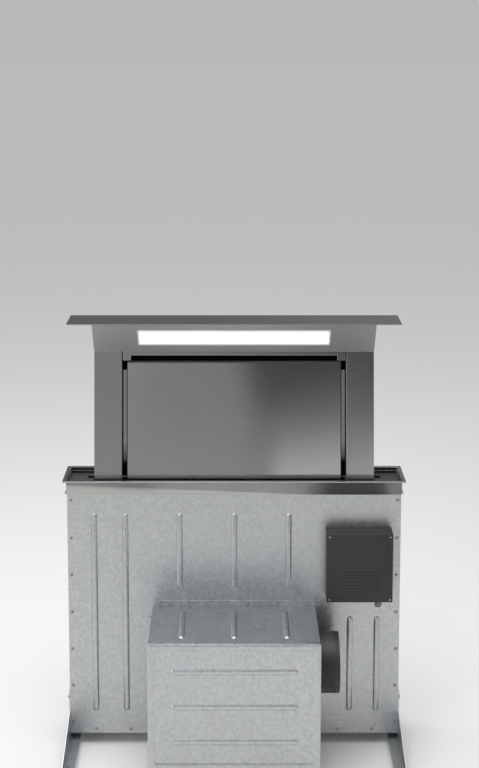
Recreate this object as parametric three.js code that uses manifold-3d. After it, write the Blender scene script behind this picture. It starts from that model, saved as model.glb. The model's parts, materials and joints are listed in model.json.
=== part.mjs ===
// Downdraft vent: a hood that rises out of the worktop behind a hob.
// Millimetres, +Z up, +X to the right of someone facing the hood, -Y towards that person.
// While the pieces are drawn, z = 0 is the worktop and y = 0 the front edge of the worktop frame.
import * as THREE from 'three';
import { mergeVertices } from 'three/addons/utils/BufferGeometryUtils.js';
import Module from 'manifold-3d';

const wasm = await Module();
wasm.setup();

// ---------------------------------------------------------------- driving sizes

const FIT = 0.3;                  // gap between pieces that touch
const SHEET = 1.5;                // sheet steel

// worktop frame
const FRAME_LENGTH = 880;
const FRAME_DEPTH = 138.5;
const FRAME_CORNER = 3;
const RIM_WIDTH = 11;
const SEAL_THICKNESS = 1.2;
const SEAL_INSET = 2;
const TRAY_DEPTH = 15;            // rim top to tray floor
const TRAY_STEP_DEPTH = 8;        // rim top to the ledge that runs round the tray's wall
const TRAY_STEP_WIDTH = 1;
const SKIRT_DROP = 20;            // frame wall below the tray floor, round the housing
const NOTCH_WIDTH = 17.5;
const NOTCH_FROM_BACK = 56.3;     // frame's back edge to the notch's front
const NOTCH_DEPTH = 16.8;
const TOWER_CLEARANCE = 2.5;      // tower to the edge of its opening

// tower, drawn at the top of its travel
const TOWER_RISE = 408.4;         // lid flush with the rim when down
const TOWER_INSET = 78;           // frame's end to the tower's side
const COLUMN_WIDTH = 70.5;
const SLOT_WIDTH = 15;
const LID_SIDE_GAP = 4;
const LID_END_GAP = 1.5;
const LID_THICKNESS = 2.5;
const LID_CORNER = 4;
const LID_OVERHANG = 9.5;         // lid beyond the fascia's top edge
const LID_OVERHANG_BACK = 2;
const HEAD_FOOT_DEPTH = 40.1;     // fascia's foot to the tower's back
const FASCIA_FOOT_Z = 325;
const HEAD_FLOOR_DROP = 3;        // head's floor below the fascia's foot
const HEAD_FLOOR_SETBACK = 9;
const TOWER_DEPTH = 71.5;         // columns' and panel's face to the tower's back, at the worktop
const TOWER_DEPTH_TOP = 28.1;     // the same under the head
const FACE_KNEE_Z = -20;          // below this the columns are upright

// light in the fascia
const LIGHT_INSET = 120.5;        // tower's side to the diffuser's end
const LIGHT_HEIGHT = 48.2;
const LIGHT_THICKNESS = 3;
const LIGHT_FROM_TOP = 27.2;
const LIGHT_GAP = 0.8;
const BEZEL_WALL = 1.5;
const BEZEL_DEPTH = 8;
const BEZEL_FLANGE = 2.6;
const BEZEL_PROUD = 0.8;
const LED_BOARD_THICKNESS = 1.6;

// front panel and what frames its slots
const PANEL_THICKNESS = 8;
const PANEL_TOP_Z = 296.5;
const PANEL_BEVEL_HEIGHT = 4;
const PANEL_BEVEL_DEPTH = 4;
const PANEL_BOTTOM_Z = -4;
const PANEL_PIN_RADIUS = 3;
const PANEL_PIN_Z = 0;
const PANEL_PIN_DEPTH = 4;
const RAIL_BOTTOM_Z = 312;
const RAIL_DEPTH = 10;
const RAIL_END_GAP = 3.5;          // rail's end to the column
const CORNER_BLOCK_WIDTH = 20.5;
const CORNER_BLOCK_BOTTOM_Z = 299;
const STRIP_SETBACK = 12;
const STRIP_TOP_Z = 272;
const STRIP_SIDE_GAP = 4;         // strip to the column
const STRIP_BOTTOM_Z = -2;
const STRIP_RETURN = 14;
const LEDGE_LENGTH = 60;
const LEDGE_THICKNESS = 3;

// grease filters
const FILTER_THICKNESS = 9;
const FILTER_TOP_Z = 286;
const FILTER_BORDER = 14;
const FILTER_SLOTS = 9;
const FILTER_SLOT_DUTY = 0.5;
const FILTER_HANDLE_LENGTH = 60;
const FILTER_HANDLE_PROUD = 3;
const FILTER_HANDLE_WIDTH = 8;
const FILTER_HANDLE_DROP = 3;     // below the filter's top

// foot of the tower
const CROSS_TOP_Z = -60;
const CROSS_HEIGHT = 40;
const CROSS_WALL = 3;
const CROSS_FLOOR = 6;
const DUCT_INSET = 7.5;           // column's inner face to the air duct
const SKIRT_TOP_Z = -8;
const WING_REACH_FRONT = 20;      // wing in front of and behind the screw
const WING_REACH_BACK = 37;
const WING_TIP_GAP = 9;           // wing to the guide rail
const WING_BORE_GAP = 2;

// housing under the worktop
const HOUSING_BOTTOM_Z = -680;
const FAN_PORT_WIDTH = 360;
const FAN_PORT_BOTTOM_Z = -620;
const FAN_PORT_TOP_Z = -360;

// lift
const SCREW_RADIUS = 8;
const SCREW_FROM_SIDE = 42.2;     // housing's side sheet to the screw's axis
const SCREW_FROM_BACK = 45.7;     // housing's back to the screw's axis
const SCREW_TAIL = 3;             // screw below its pulley
const SCREW_TOP_Z = -38.5;
const NUT_SIZE = 34;
const NUT_HEIGHT = 22;
const BEARING_DEPTH = 36;
const BEARING_REACH_IN = 18;      // screw's axis to the bearing's inner side
const UPPER_BEARING_TOP_Z = -39;
const UPPER_BEARING_HEIGHT = 18;
const LOWER_BEARING_TOP_Z = -525;
const LOWER_BEARING_HEIGHT = 20;
const PULLEY_TOP_Z = -550.5;
const PULLEY_HEIGHT = 13;
const PULLEY_RADIUS = 15;
const PULLEY_FLANGE_RADIUS = 18;
const PULLEY_FLANGE = 1.2;
const BELT_THICKNESS = 1.5;
const GEARBOX_SIZE = 50;
const GEARBOX_HEIGHT = 42;
const LIFT_MOTOR_RADIUS = 21;
const LIFT_SHAFT_RADIUS = 5;
const LIFT_SHAFT_LENGTH = 3;
const GUIDE_RAIL_DEPTH = 14;
const GUIDE_RAIL_WIDTH = 30;
const GUIDE_RAIL_WALL = 2.5;
const SLIDER_HEIGHT = 38;
const SWITCH_SIZE = [20, 14, 16];
const SWITCH_GAP = 5;

// blower
const BLOWER_WIDTH = 420;
const BLOWER_DEPTH = 250;
const BLOWER_TOP_Z = -330;
const BLOWER_BOTTOM_Z = -650;
const COVER_LIP = 12;
const FAN_X = -55;
const FAN_Z = -505;
const SCROLL_START_RADIUS = 108;
const SCROLL_END_RADIUS = 153;
const SCROLL_WALL = 2;
const SCROLL_BACK_Y = -177;
const SCROLL_DEPTH = 130;
const INLET_RADIUS = 80;
const INLET_LIP = 8;
const IMPELLER_RADIUS = 98;
const IMPELLER_LENGTH = 100;
const IMPELLER_PLATE = 3;
const BLADE_COUNT = 30;
const BLADE_CHORD = 20;
const BLADE_THICKNESS = 1.6;
const BLADE_BOW = 5;
const IMPELLER_BACK_GAP = 8;
const IMPELLER_RING = 6;
const HUB_RADIUS = 18;
const HUB_LENGTH = 34;
const FAN_MOTOR_RADIUS = 46;
const FAN_MOTOR_LENGTH = 52;
const FAN_MOTOR_FLANGE_RADIUS = 60;
const FAN_MOTOR_FLANGE = 3;
const FAN_MOTOR_CHAMFER = 6;
const FAN_SHAFT_RADIUS = 4;
const FAN_HOLE_RADIUS = 30;

// outlet
const COLLAR_RADIUS = 75;         // outside, for a 150 mm duct
const COLLAR_WALL = 1.5;
const COLLAR_LENGTH = 52;
const COLLAR_FLANGE_RADIUS = 90;
const COLLAR_BEAD = 1.5;
const COLLAR_BEAD_FROM_END = 12;
const FLAP_THICKNESS = 1.2;
const FLAP_PIN_RADIUS = 2;
const FLAP_PIN_OFFSET = 4;
const FLAP_X_IN_COLLAR = 12;
const FLAP_EDGE_GAP = 1.5;

// electronics box
const ELECTRONICS = { fromSide: 24.7, width: 168, depth: 56, top: -120, height: 180, wall: 2 };
const GLAND_RADIUS = 10;
const GLAND_LENGTH = 22;
const GLAND_FROM_SIDE = 34;       // box's right side to the gland's axis
const GLAND_TIP = 0.7;            // share of the gland's radius at its tip
const GLAND_DOME = 0.8;           // share of the gland's radius at its dome nut
const GLAND_SEAT = 0.4;           // share of the gland's length that its hexagon takes

// supports and clamps
const LEG_PLATE = 3;
const LEG_WIDTH = 30;
const LEG_FRONT_Y = -175;
const LEG_REACH_BACK = 9.3;       // leg behind the housing
const LEG_RISE = 120;
const LEG_GUSSET = 0.6;           // share of the rise that the gusset reaches
const LEG_PLATE_INSET = 10.7;
const LEG_TOP_OFFSET = 10;        // leg's foot plate below the housing's floor
const FOOT_RADIUS = 18;
const FOOT_HEIGHT = 8;
const FOOT_STUD_RADIUS = 4;
const FOOT_STUD_HEIGHT = 18;
const FOOT_STUD_GAP = 8;          // stud between the pad and the leg
const FOOT_EDGE = 2;
const FOOT_NUT_RADIUS = 7.5;
const FOOT_NUT_HEIGHT = 5;
const FOOT_END_INSET = 18;
const CLAMP_TOP_Z = -44;          // thickest worktop that the clamps take
const CLAMP_WIDTH = 30;
const CLAMP_DROP = 66;
const CLAMP_LIP = 9;
const CLAMP_THICKNESS = 2;

// nylon blocks under the tray's notches
const GUIDE_BLOCK_DROP = 21;
const GUIDE_BLOCK_POCKET = 8;     // sunk under the notch
const GUIDE_BLOCK_WALL = 3;
const GUIDE_BLOCK_FLANGE = 3.2;
const GUIDE_BLOCK_REACH = 14;
const GUIDE_BLOCK_WING = 9;

// ---------------------------------------------------------------- sizes that follow

const SEAL_TOP = SEAL_THICKNESS;
const RIM_TOP = SEAL_TOP + FIT + SHEET;
const TRAY_FLOOR = RIM_TOP - TRAY_DEPTH;
const TOWER_WIDTH = FRAME_LENGTH - 2 * TOWER_INSET;
const LIGHT_LENGTH = TOWER_WIDTH - 2 * LIGHT_INSET;
const INNER_X = FRAME_LENGTH / 2 - RIM_WIDTH;
const INNER_FRONT = RIM_WIDTH;
const INNER_BACK = FRAME_DEPTH - RIM_WIDTH;
const LID_TOP = RIM_TOP + TOWER_RISE;
const LID_BOTTOM = LID_TOP - LID_THICKNESS;
const LID_FRONT = INNER_FRONT + LID_END_GAP;
const LID_BACK = INNER_BACK - LID_END_GAP;
const TOWER_X = TOWER_WIDTH / 2;
const TOWER_BACK = LID_BACK - LID_OVERHANG_BACK;
const FACE_Y = TOWER_BACK - TOWER_DEPTH;
const COLUMN_INNER_X = TOWER_X - COLUMN_WIDTH;
const PANEL_X = COLUMN_INNER_X - SLOT_WIDTH;
const NOTCH_FRONT = FRAME_DEPTH - NOTCH_FROM_BACK;
const DUCT_HALF_WIDTH = COLUMN_INNER_X - DUCT_INSET;
const FASCIA_TOP_Y = LID_FRONT + LID_OVERHANG;
const FASCIA_FOOT_Y = TOWER_BACK - HEAD_FOOT_DEPTH;
const FASCIA_TOP_Z = LID_BOTTOM - FIT;
const HEAD_FLOOR_Z = FASCIA_FOOT_Z - HEAD_FLOOR_DROP;
const CROSS_BOTTOM_Z = CROSS_TOP_Z - CROSS_HEIGHT;
const HOUSING_X = INNER_X - FIT;
const HOUSING_FRONT = INNER_FRONT + FIT;
const HOUSING_BACK = INNER_BACK - FIT;
const HOUSING_TOP = TRAY_FLOOR - SHEET - FIT;
const HOUSING_INNER_X = HOUSING_X - SHEET;
const SCREW_X = HOUSING_INNER_X - SCREW_FROM_SIDE;
const SCREW_Y = HOUSING_BACK - SCREW_FROM_BACK;
const BEARING_INNER_X = SCREW_X - BEARING_REACH_IN;
const SCREW_BORE = SCREW_RADIUS + FIT;
const PULLEY_BOTTOM_Z = PULLEY_TOP_Z - PULLEY_HEIGHT;
const SCREW_BOTTOM_Z = PULLEY_BOTTOM_Z - SCREW_TAIL;
const RAIL_FACE_X = HOUSING_INNER_X - FIT;
const GUIDE_RAIL_X = RAIL_FACE_X - GUIDE_RAIL_DEPTH;
const WING_X = GUIDE_RAIL_X - WING_TIP_GAP;
const BLOWER_X = BLOWER_WIDTH / 2;
const BLOWER_BACK = HOUSING_FRONT - FIT;
const BLOWER_FRONT = BLOWER_BACK - BLOWER_DEPTH;
const COLLAR_Y = SCROLL_BACK_Y + SCROLL_DEPTH / 2;
const COLLAR_Z = FAN_Z + SCROLL_END_RADIUS / 2;
const COLLAR_X = BLOWER_X + FIT;
const ELECTRONICS_X = HOUSING_X - ELECTRONICS.fromSide - ELECTRONICS.width;
const GLAND_X = ELECTRONICS_X + ELECTRONICS.width - GLAND_FROM_SIDE;
const LEG_TOP_Z = HOUSING_BOTTOM_Z - LEG_TOP_OFFSET;
const LEG_BOTTOM_Z = LEG_TOP_Z - LEG_PLATE;
const FOOT_BOTTOM_Z = LEG_BOTTOM_Z - FIT - FOOT_HEIGHT - FOOT_STUD_GAP;
const LEG_BACK_Y = HOUSING_BACK + LEG_REACH_BACK;

// y of the leaning face of columns and panel at height z
const faceLean = (TOWER_DEPTH - TOWER_DEPTH_TOP) / HEAD_FLOOR_Z;
const faceY = (z) => FACE_Y + faceLean * Math.max(z, FACE_KNEE_Z);

// ---------------------------------------------------------------- materials

const material = (color, metalness, roughness) =>
  new THREE.MeshStandardMaterial({ color, metalness, roughness });
const BRUSHED = material(0xb9b8b4, 0.9, 0.38);
const PANEL_STEEL = material(0xc2c1bd, 0.9, 0.35);
const GALVANISED = material(0xa3a7a9, 0.8, 0.5);
const DARK_STEEL = material(0x4a4c4e, 0.7, 0.5);
const MACHINED = material(0xc9cbcc, 0.95, 0.3);
const ALUMINIUM = material(0xd0d2d2, 0.85, 0.45);
const BLACK_PLASTIC = material(0x1b1c1d, 0.0, 0.6);
const NYLON = material(0x101010, 0.0, 0.5);
const RUBBER = material(0x0d0d0d, 0.0, 0.85);
const GREY_PLASTIC = material(0x77797a, 0.0, 0.55);
const DIFFUSER = material(0xfbfbf6, 0.0, 0.4);
const BOARD = material(0xe8e9e4, 0.0, 0.6);

// ---------------------------------------------------------------- solids

const X_AXIS = new THREE.Vector3(1, 0, 0);
const Y_AXIS = new THREE.Vector3(0, 1, 0);
const Z_AXIS = new THREE.Vector3(0, 0, 1);

function toSolid(geometry) {
  const bare = geometry.clone();
  bare.deleteAttribute('normal');
  bare.deleteAttribute('uv');
  const merged = mergeVertices(bare, 1e-4);
  return new wasm.Manifold(new wasm.Mesh({
    numProp: 3,
    vertProperties: new Float32Array(merged.attributes.position.array),
    triVerts: new Uint32Array(merged.index.array),
  }));
}

function toGeometry(solid) {
  const mesh = solid.getMesh();
  const geometry = new THREE.BufferGeometry();
  geometry.setAttribute('position', new THREE.BufferAttribute(new Float32Array(mesh.vertProperties), 3));
  geometry.setIndex(new THREE.BufferAttribute(new Uint32Array(mesh.triVerts), 1));
  geometry.computeVertexNormals();
  return geometry;
}

// a box between two x, two y and two z values
function box([x0, x1], [y0, y1], [z0, z1]) {
  const geometry = new THREE.BoxGeometry(x1 - x0, y1 - y0, z1 - z0);
  geometry.translate((x0 + x1) / 2, (y0 + y1) / 2, (z0 + z1) / 2);
  return toSolid(geometry);
}

function outline(points) {
  return new THREE.Shape(points.map(([a, b]) => new THREE.Vector2(a, b)));
}

function extruded(shape, length, curveSegments = 12) {
  return new THREE.ExtrudeGeometry(shape, { depth: length, bevelEnabled: false, curveSegments });
}

// an outline of (y, z) points, swept from x0 to x1
function alongX(shape, [x0, x1], curveSegments) {
  const geometry = extruded(shape, x1 - x0, curveSegments);
  geometry.applyMatrix4(new THREE.Matrix4().makeBasis(Y_AXIS, Z_AXIS, X_AXIS));
  geometry.translate(x0, 0, 0);
  return toSolid(geometry);
}

// an outline of (x, z) points, swept from y0 to y1
function alongY(shape, [y0, y1], curveSegments) {
  const geometry = extruded(shape, y1 - y0, curveSegments);
  geometry.applyMatrix4(new THREE.Matrix4().makeBasis(X_AXIS, Z_AXIS, Y_AXIS.clone().negate()));
  geometry.translate(0, y1, 0);
  return toSolid(geometry);
}

// an outline of (x, y) points, swept from z0 to z1
function alongZ(shape, [z0, z1], curveSegments) {
  const geometry = extruded(shape, z1 - z0, curveSegments);
  geometry.translate(0, 0, z0);
  return toSolid(geometry);
}

// a rectangle from (x0, y0) to (x1, y1) with round corners
function rounded([x0, x1], [y0, y1], radius) {
  const shape = new THREE.Shape();
  shape.moveTo(x0 + radius, y0);
  shape.lineTo(x1 - radius, y0);
  shape.absarc(x1 - radius, y0 + radius, radius, -Math.PI / 2, 0);
  shape.lineTo(x1, y1 - radius);
  shape.absarc(x1 - radius, y1 - radius, radius, 0, Math.PI / 2);
  shape.lineTo(x0 + radius, y1);
  shape.absarc(x0 + radius, y1 - radius, radius, Math.PI / 2, Math.PI);
  shape.lineTo(x0, y0 + radius);
  shape.absarc(x0 + radius, y0 + radius, radius, Math.PI, Math.PI * 1.5);
  return shape;
}

// a closed profile of (radius, height) points, turned round an axis through a point
function turned(points, axis, [x, y, z], segments = 24) {
  const profile = points.map(([r, h]) => new THREE.Vector2(r, h));
  const geometry = new THREE.LatheGeometry(profile, segments);
  geometry.applyQuaternion(new THREE.Quaternion().setFromUnitVectors(Y_AXIS, axis));
  geometry.translate(x, y, z);
  return toSolid(geometry);
}

const rod = (radius, [h0, h1], axis, at, segments) =>
  turned([[0, h0], [radius, h0], [radius, h1], [0, h1]], axis, at, segments);

const tube = (inner, outer, [h0, h1], axis, at, segments) =>
  turned([[inner, h0], [outer, h0], [outer, h1], [inner, h1], [inner, h0]], axis, at, segments);

const union = (...solids) => solids.reduce((whole, solid) => whole.add(solid));
const cut = (solid, ...tools) => tools.reduce((rest, tool) => rest.subtract(tool), solid);

// x ranges on the left (-1) or right (+1) side, given as distances from the middle
const onSide = (side, [near, far]) => (side < 0 ? [-far, -near] : [near, far]);
const SIDES = [['left', -1], ['right', 1]];

const group = new THREE.Group();

function add(name, look, solid, parent = group) {
  const mesh = new THREE.Mesh(toGeometry(solid), look.clone());
  mesh.name = name;
  parent.add(mesh);
}

// ---------------------------------------------------------------- worktop frame

function rectangle(inset, sheetBehind = 0) {
  const x = INNER_X - inset + sheetBehind;
  return [[-x, x], [INNER_FRONT + inset - sheetBehind, INNER_BACK - inset + sheetBehind]];
}

function layer(outer, inner, heights) {
  return box(...outer, heights).subtract(box(...inner, [heights[0] - 1, heights[1] + 1]));
}

function worktopFrame() {
  const opening = rectangle(0);
  const wall = rectangle(0, SHEET);
  const step = RIM_TOP - TRAY_STEP_DEPTH;
  const outside = rounded([-FRAME_LENGTH / 2, FRAME_LENGTH / 2], [0, FRAME_DEPTH], FRAME_CORNER);
  const rim = alongZ(outside, [RIM_TOP - SHEET, RIM_TOP], 3)
    .subtract(box(...opening, [RIM_TOP - SHEET - 1, RIM_TOP + 1]));
  const skirted = layer(wall, opening, [TRAY_FLOOR - SHEET - SKIRT_DROP, RIM_TOP - SHEET / 2]);
  const ledge = layer(wall, rectangle(TRAY_STEP_WIDTH), [TRAY_FLOOR - SHEET, step]);
  const floor = box(...wall, [TRAY_FLOOR - SHEET, TRAY_FLOOR]);
  const towerX = TOWER_X + TOWER_CLEARANCE;
  const through = [TRAY_FLOOR - SHEET - 1, RIM_TOP + 1];
  const towerDepth = [FASCIA_TOP_Y - TOWER_CLEARANCE, TOWER_BACK + TOWER_CLEARANCE];
  const passage = box([-towerX, towerX], towerDepth, through);
  const notchX = towerX + NOTCH_WIDTH;
  const notches = box([-notchX, notchX], [NOTCH_FRONT, NOTCH_FRONT + NOTCH_DEPTH], through);
  return union(rim, skirted, ledge, cut(floor, passage, notches));
}

function frameSeal() {
  const halfLength = FRAME_LENGTH / 2 - SEAL_INSET;
  const outside = [[-halfLength, halfLength], [SEAL_INSET, FRAME_DEPTH - SEAL_INSET]];
  return layer(outside, rectangle(0, SHEET + FIT), [0, SEAL_TOP]);
}

// a block hung under the notch that keeps the tower centred, hollow where the notch opens into it
function guideBlock(side) {
  const near = TOWER_X + FIT;
  const far = TOWER_X + TOWER_CLEARANCE + NOTCH_WIDTH;
  const grown = (margin) => [NOTCH_FRONT - margin, NOTCH_FRONT + NOTCH_DEPTH + margin];
  const top = TRAY_FLOOR - SHEET - FIT;
  const across = onSide(side, [near, far + GUIDE_BLOCK_WALL]);
  const post = box(across, grown(GUIDE_BLOCK_WALL), [top - GUIDE_BLOCK_DROP, top]);
  const flange = box(
    onSide(side, [near, far + GUIDE_BLOCK_REACH]),
    grown(GUIDE_BLOCK_WING),
    [top - GUIDE_BLOCK_FLANGE, top],
  );
  const pocket = box(onSide(side, [near - 1, far]), grown(0), [top - GUIDE_BLOCK_POCKET, top + 1]);
  return union(post, flange).subtract(pocket);
}

// lip that the worktop is pulled down against, on a plate screwed to the housing's side
function clampBracket(side) {
  const near = HOUSING_X + FIT;
  const depth = [(FRAME_DEPTH - CLAMP_WIDTH) / 2, (FRAME_DEPTH + CLAMP_WIDTH) / 2];
  const heights = [CLAMP_TOP_Z - CLAMP_DROP, CLAMP_TOP_Z];
  const plate = box(onSide(side, [near, near + CLAMP_THICKNESS]), depth, heights);
  const lip = box(
    onSide(side, [near, near + CLAMP_THICKNESS + CLAMP_LIP]),
    depth,
    [CLAMP_TOP_Z - CLAMP_THICKNESS, CLAMP_TOP_Z],
  );
  return plate.add(lip);
}

add('worktop_frame', BRUSHED, worktopFrame());
add('frame_seal', RUBBER, frameSeal());
for (const [word, side] of SIDES) {
  add(`guide_block_${word}`, NYLON, guideBlock(side));
  add(`clamp_bracket_${word}`, GALVANISED, clampBracket(side));
}

// ---------------------------------------------------------------- housing

function housingSheets() {
  const sheetTop = HOUSING_TOP;
  const foot = HOUSING_BOTTOM_Z + SHEET + FIT;
  const across = [-HOUSING_X, HOUSING_X];
  const port = box(
    [-FAN_PORT_WIDTH / 2, FAN_PORT_WIDTH / 2],
    [HOUSING_FRONT - 1, HOUSING_FRONT + SHEET + 1],
    [FAN_PORT_BOTTOM_Z, FAN_PORT_TOP_Z],
  );
  const front = box(across, [HOUSING_FRONT, HOUSING_FRONT + SHEET], [foot, sheetTop]).subtract(port);
  add('housing_front', GALVANISED, front);
  add('housing_rear', GALVANISED, box(across, [HOUSING_BACK - SHEET, HOUSING_BACK], [foot, sheetTop]));
  const between = [HOUSING_FRONT + SHEET + FIT, HOUSING_BACK - SHEET - FIT];
  for (const [word, side] of SIDES) {
    const sheet = box(onSide(side, [HOUSING_INNER_X, HOUSING_X]), between, [foot, sheetTop]);
    add(`housing_${word}`, GALVANISED, sheet);
  }
  const floor = box(across, [HOUSING_FRONT, HOUSING_BACK], [HOUSING_BOTTOM_Z, HOUSING_BOTTOM_Z + SHEET]);
  add('housing_floor', GALVANISED, floor);
}

housingSheets();

// ---------------------------------------------------------------- lift

function bearing(side, top, height) {
  const depth = [SCREW_Y - BEARING_DEPTH / 2, SCREW_Y + BEARING_DEPTH / 2];
  const block = box(onSide(side, [BEARING_INNER_X, RAIL_FACE_X]), depth, [top - height, top]);
  const bore = rod(SCREW_BORE, [top - height - 1, top + 1], Z_AXIS, [side * SCREW_X, SCREW_Y, 0]);
  return block.subtract(bore);
}

function guideRail(side, top, bottom) {
  const half = GUIDE_RAIL_WIDTH / 2;
  const bar = box(onSide(side, [GUIDE_RAIL_X, RAIL_FACE_X]), [SCREW_Y - half, SCREW_Y + half], [bottom, top]);
  const channel = box(
    onSide(side, [GUIDE_RAIL_X - 1, RAIL_FACE_X - GUIDE_RAIL_WALL]),
    [SCREW_Y - half + GUIDE_RAIL_WALL, SCREW_Y + half - GUIDE_RAIL_WALL],
    [bottom - 1, top + 1],
  );
  return bar.subtract(channel);
}

// the screw and the belt pulley pressed on its foot
function leadScrew(side) {
  const r = PULLEY_RADIUS;
  const flange = PULLEY_FLANGE_RADIUS;
  const seatBottom = PULLEY_BOTTOM_Z + PULLEY_FLANGE;
  const seatTop = PULLEY_TOP_Z - PULLEY_FLANGE;
  return turned([
    [0, SCREW_BOTTOM_Z], [SCREW_RADIUS, SCREW_BOTTOM_Z], [SCREW_RADIUS, PULLEY_BOTTOM_Z],
    [flange, PULLEY_BOTTOM_Z], [flange, seatBottom], [r, seatBottom], [r, seatTop],
    [flange, seatTop], [flange, PULLEY_TOP_Z], [SCREW_RADIUS, PULLEY_TOP_Z],
    [SCREW_RADIUS, SCREW_TOP_Z], [0, SCREW_TOP_Z],
  ], Z_AXIS, [side * SCREW_X, SCREW_Y, 0], 24);
}

function stadium(radius) {
  const shape = new THREE.Shape();
  shape.absarc(SCREW_X, SCREW_Y, radius, -Math.PI / 2, Math.PI / 2);
  shape.absarc(-SCREW_X, SCREW_Y, radius, Math.PI / 2, Math.PI * 1.5);
  return shape;
}

function timingBelt() {
  const inner = PULLEY_RADIUS + FIT;
  const bottom = PULLEY_BOTTOM_Z + PULLEY_FLANGE + FIT;
  const top = PULLEY_TOP_Z - PULLEY_FLANGE - FIT;
  const band = alongZ(stadium(inner + BELT_THICKNESS), [bottom, top], 16);
  return band.subtract(alongZ(stadium(inner), [bottom - 1, top + 1], 16));
}

// gearbox and motor under the left screw, standing on the housing's floor
function liftGearmotor() {
  const at = [-SCREW_X, SCREW_Y, 0];
  const shaftTop = SCREW_BOTTOM_Z - FIT;
  const top = shaftTop - LIFT_SHAFT_LENGTH;
  const half = GEARBOX_SIZE / 2;
  const across = [-SCREW_X - half, -SCREW_X + half];
  const gearbox = box(across, [SCREW_Y - half, SCREW_Y + half], [top - GEARBOX_HEIGHT, top]);
  const motor = rod(LIFT_MOTOR_RADIUS, [HOUSING_BOTTOM_Z + SHEET + FIT, top - GEARBOX_HEIGHT], Z_AXIS, at);
  const shaft = rod(LIFT_SHAFT_RADIUS, [top, shaftTop], Z_AXIS, at, 12);
  return union(gearbox, motor, shaft);
}

// switch on the housing's rear sheet, over or under the wing that trips it
function limitSwitch(bottom) {
  const [width, depth, height] = SWITCH_SIZE;
  const back = HOUSING_BACK - SHEET - FIT;
  const across = [SCREW_X - width / 2, SCREW_X + width / 2];
  return box(across, [back - depth, back], [bottom, bottom + height]);
}

const railTop = UPPER_BEARING_TOP_Z - UPPER_BEARING_HEIGHT - FIT;
const railBottom = LOWER_BEARING_TOP_Z + FIT;
const wingTop = CROSS_BOTTOM_Z + CROSS_FLOOR;
for (const [word, side] of SIDES) {
  add(`screw_bearing_upper_${word}`, DARK_STEEL, bearing(side, UPPER_BEARING_TOP_Z, UPPER_BEARING_HEIGHT));
  add(`screw_bearing_lower_${word}`, DARK_STEEL, bearing(side, LOWER_BEARING_TOP_Z, LOWER_BEARING_HEIGHT));
  add(`guide_rail_${word}`, ALUMINIUM, guideRail(side, railTop, railBottom));
  add(`lead_screw_${word}`, MACHINED, leadScrew(side));
}
add('timing_belt', RUBBER, timingBelt());
add('lift_gearmotor', DARK_STEEL, liftGearmotor());
add('limit_switch_upper', BLACK_PLASTIC, limitSwitch(wingTop + SWITCH_GAP));
const lowestWing = CROSS_BOTTOM_Z - TOWER_RISE;
add('limit_switch_lower', BLACK_PLASTIC, limitSwitch(lowestWing - SWITCH_GAP - SWITCH_SIZE[2]));

// ---------------------------------------------------------------- blower

// the scroll's outline: a spiral that widens clockwise, then a straight throat to the right
function scrollOutline(offset, throatEnd) {
  const steps = 36;
  const turn = Math.PI * 1.5;
  const growth = SCROLL_END_RADIUS - SCROLL_START_RADIUS;
  const points = [];
  for (let i = 0; i <= steps; i += 1) {
    const share = i / steps;
    const radius = SCROLL_START_RADIUS + growth * share + offset;
    points.push([FAN_X + radius * Math.cos(-turn * share), FAN_Z + radius * Math.sin(-turn * share)]);
  }
  points.push([throatEnd, FAN_Z + SCROLL_END_RADIUS + offset]);
  points.push([throatEnd, FAN_Z - offset]);
  points.push([FAN_X + SCROLL_START_RADIUS + offset, FAN_Z - offset]);
  points[0] = [points[0][0], FAN_Z - offset * 2];
  return outline(points.reverse());
}

function scrollSolids() {
  const end = BLOWER_X - SHEET - FIT;
  const inletPlateY = SCROLL_BACK_Y + SCROLL_DEPTH;
  const outside = alongY(scrollOutline(SCROLL_WALL, end), [SCROLL_BACK_Y, inletPlateY]);
  const inside = alongY(scrollOutline(0, end + 1), [SCROLL_BACK_Y + SCROLL_WALL, inletPlateY + 1]);
  const centre = [FAN_X, 0, FAN_Z];
  const backWall = [SCROLL_BACK_Y - 1, SCROLL_BACK_Y + SCROLL_WALL + 1];
  const shaftHole = rod(FAN_HOLE_RADIUS, backWall, Y_AXIS, centre);
  add('fan_scroll', GALVANISED, cut(outside, inside, shaftHole));
  const plateBack = inletPlateY + FIT;
  const plateFront = plateBack + SCROLL_WALL;
  const plate = alongY(scrollOutline(SCROLL_WALL, end), [plateBack, plateFront]);
  const lip = INLET_RADIUS + INLET_LIP;
  const half = INLET_LIP / 2;
  const mouth = turned([
    [INLET_RADIUS, plateBack], [lip, plateBack], [lip, plateFront], [lip, plateFront + half],
    [lip - half, plateFront + INLET_LIP], [INLET_RADIUS + 1, plateFront + half],
    [INLET_RADIUS, plateFront], [INLET_RADIUS, plateBack],
  ], Y_AXIS, centre, 36);
  const hole = rod(INLET_RADIUS, [plateBack - 1, plateFront + 1], Y_AXIS, centre, 36);
  add('scroll_inlet_plate', GALVANISED, plate.subtract(hole).add(mouth));
}

// forward-curved blade in the (x, z) plane: an arc of even thickness from the tip circle inwards
function bladeOutline() {
  const steps = 5;
  const outer = [];
  const inner = [];
  for (let i = 0; i <= steps; i += 1) {
    const share = i / steps;
    const radius = IMPELLER_RADIUS - 1 - BLADE_CHORD * (1 - share);
    const bow = BLADE_BOW * share * share;
    outer.push([radius, bow]);
    inner.push([radius, bow - BLADE_THICKNESS]);
  }
  return outline([...inner, ...outer.reverse()]);
}

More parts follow.
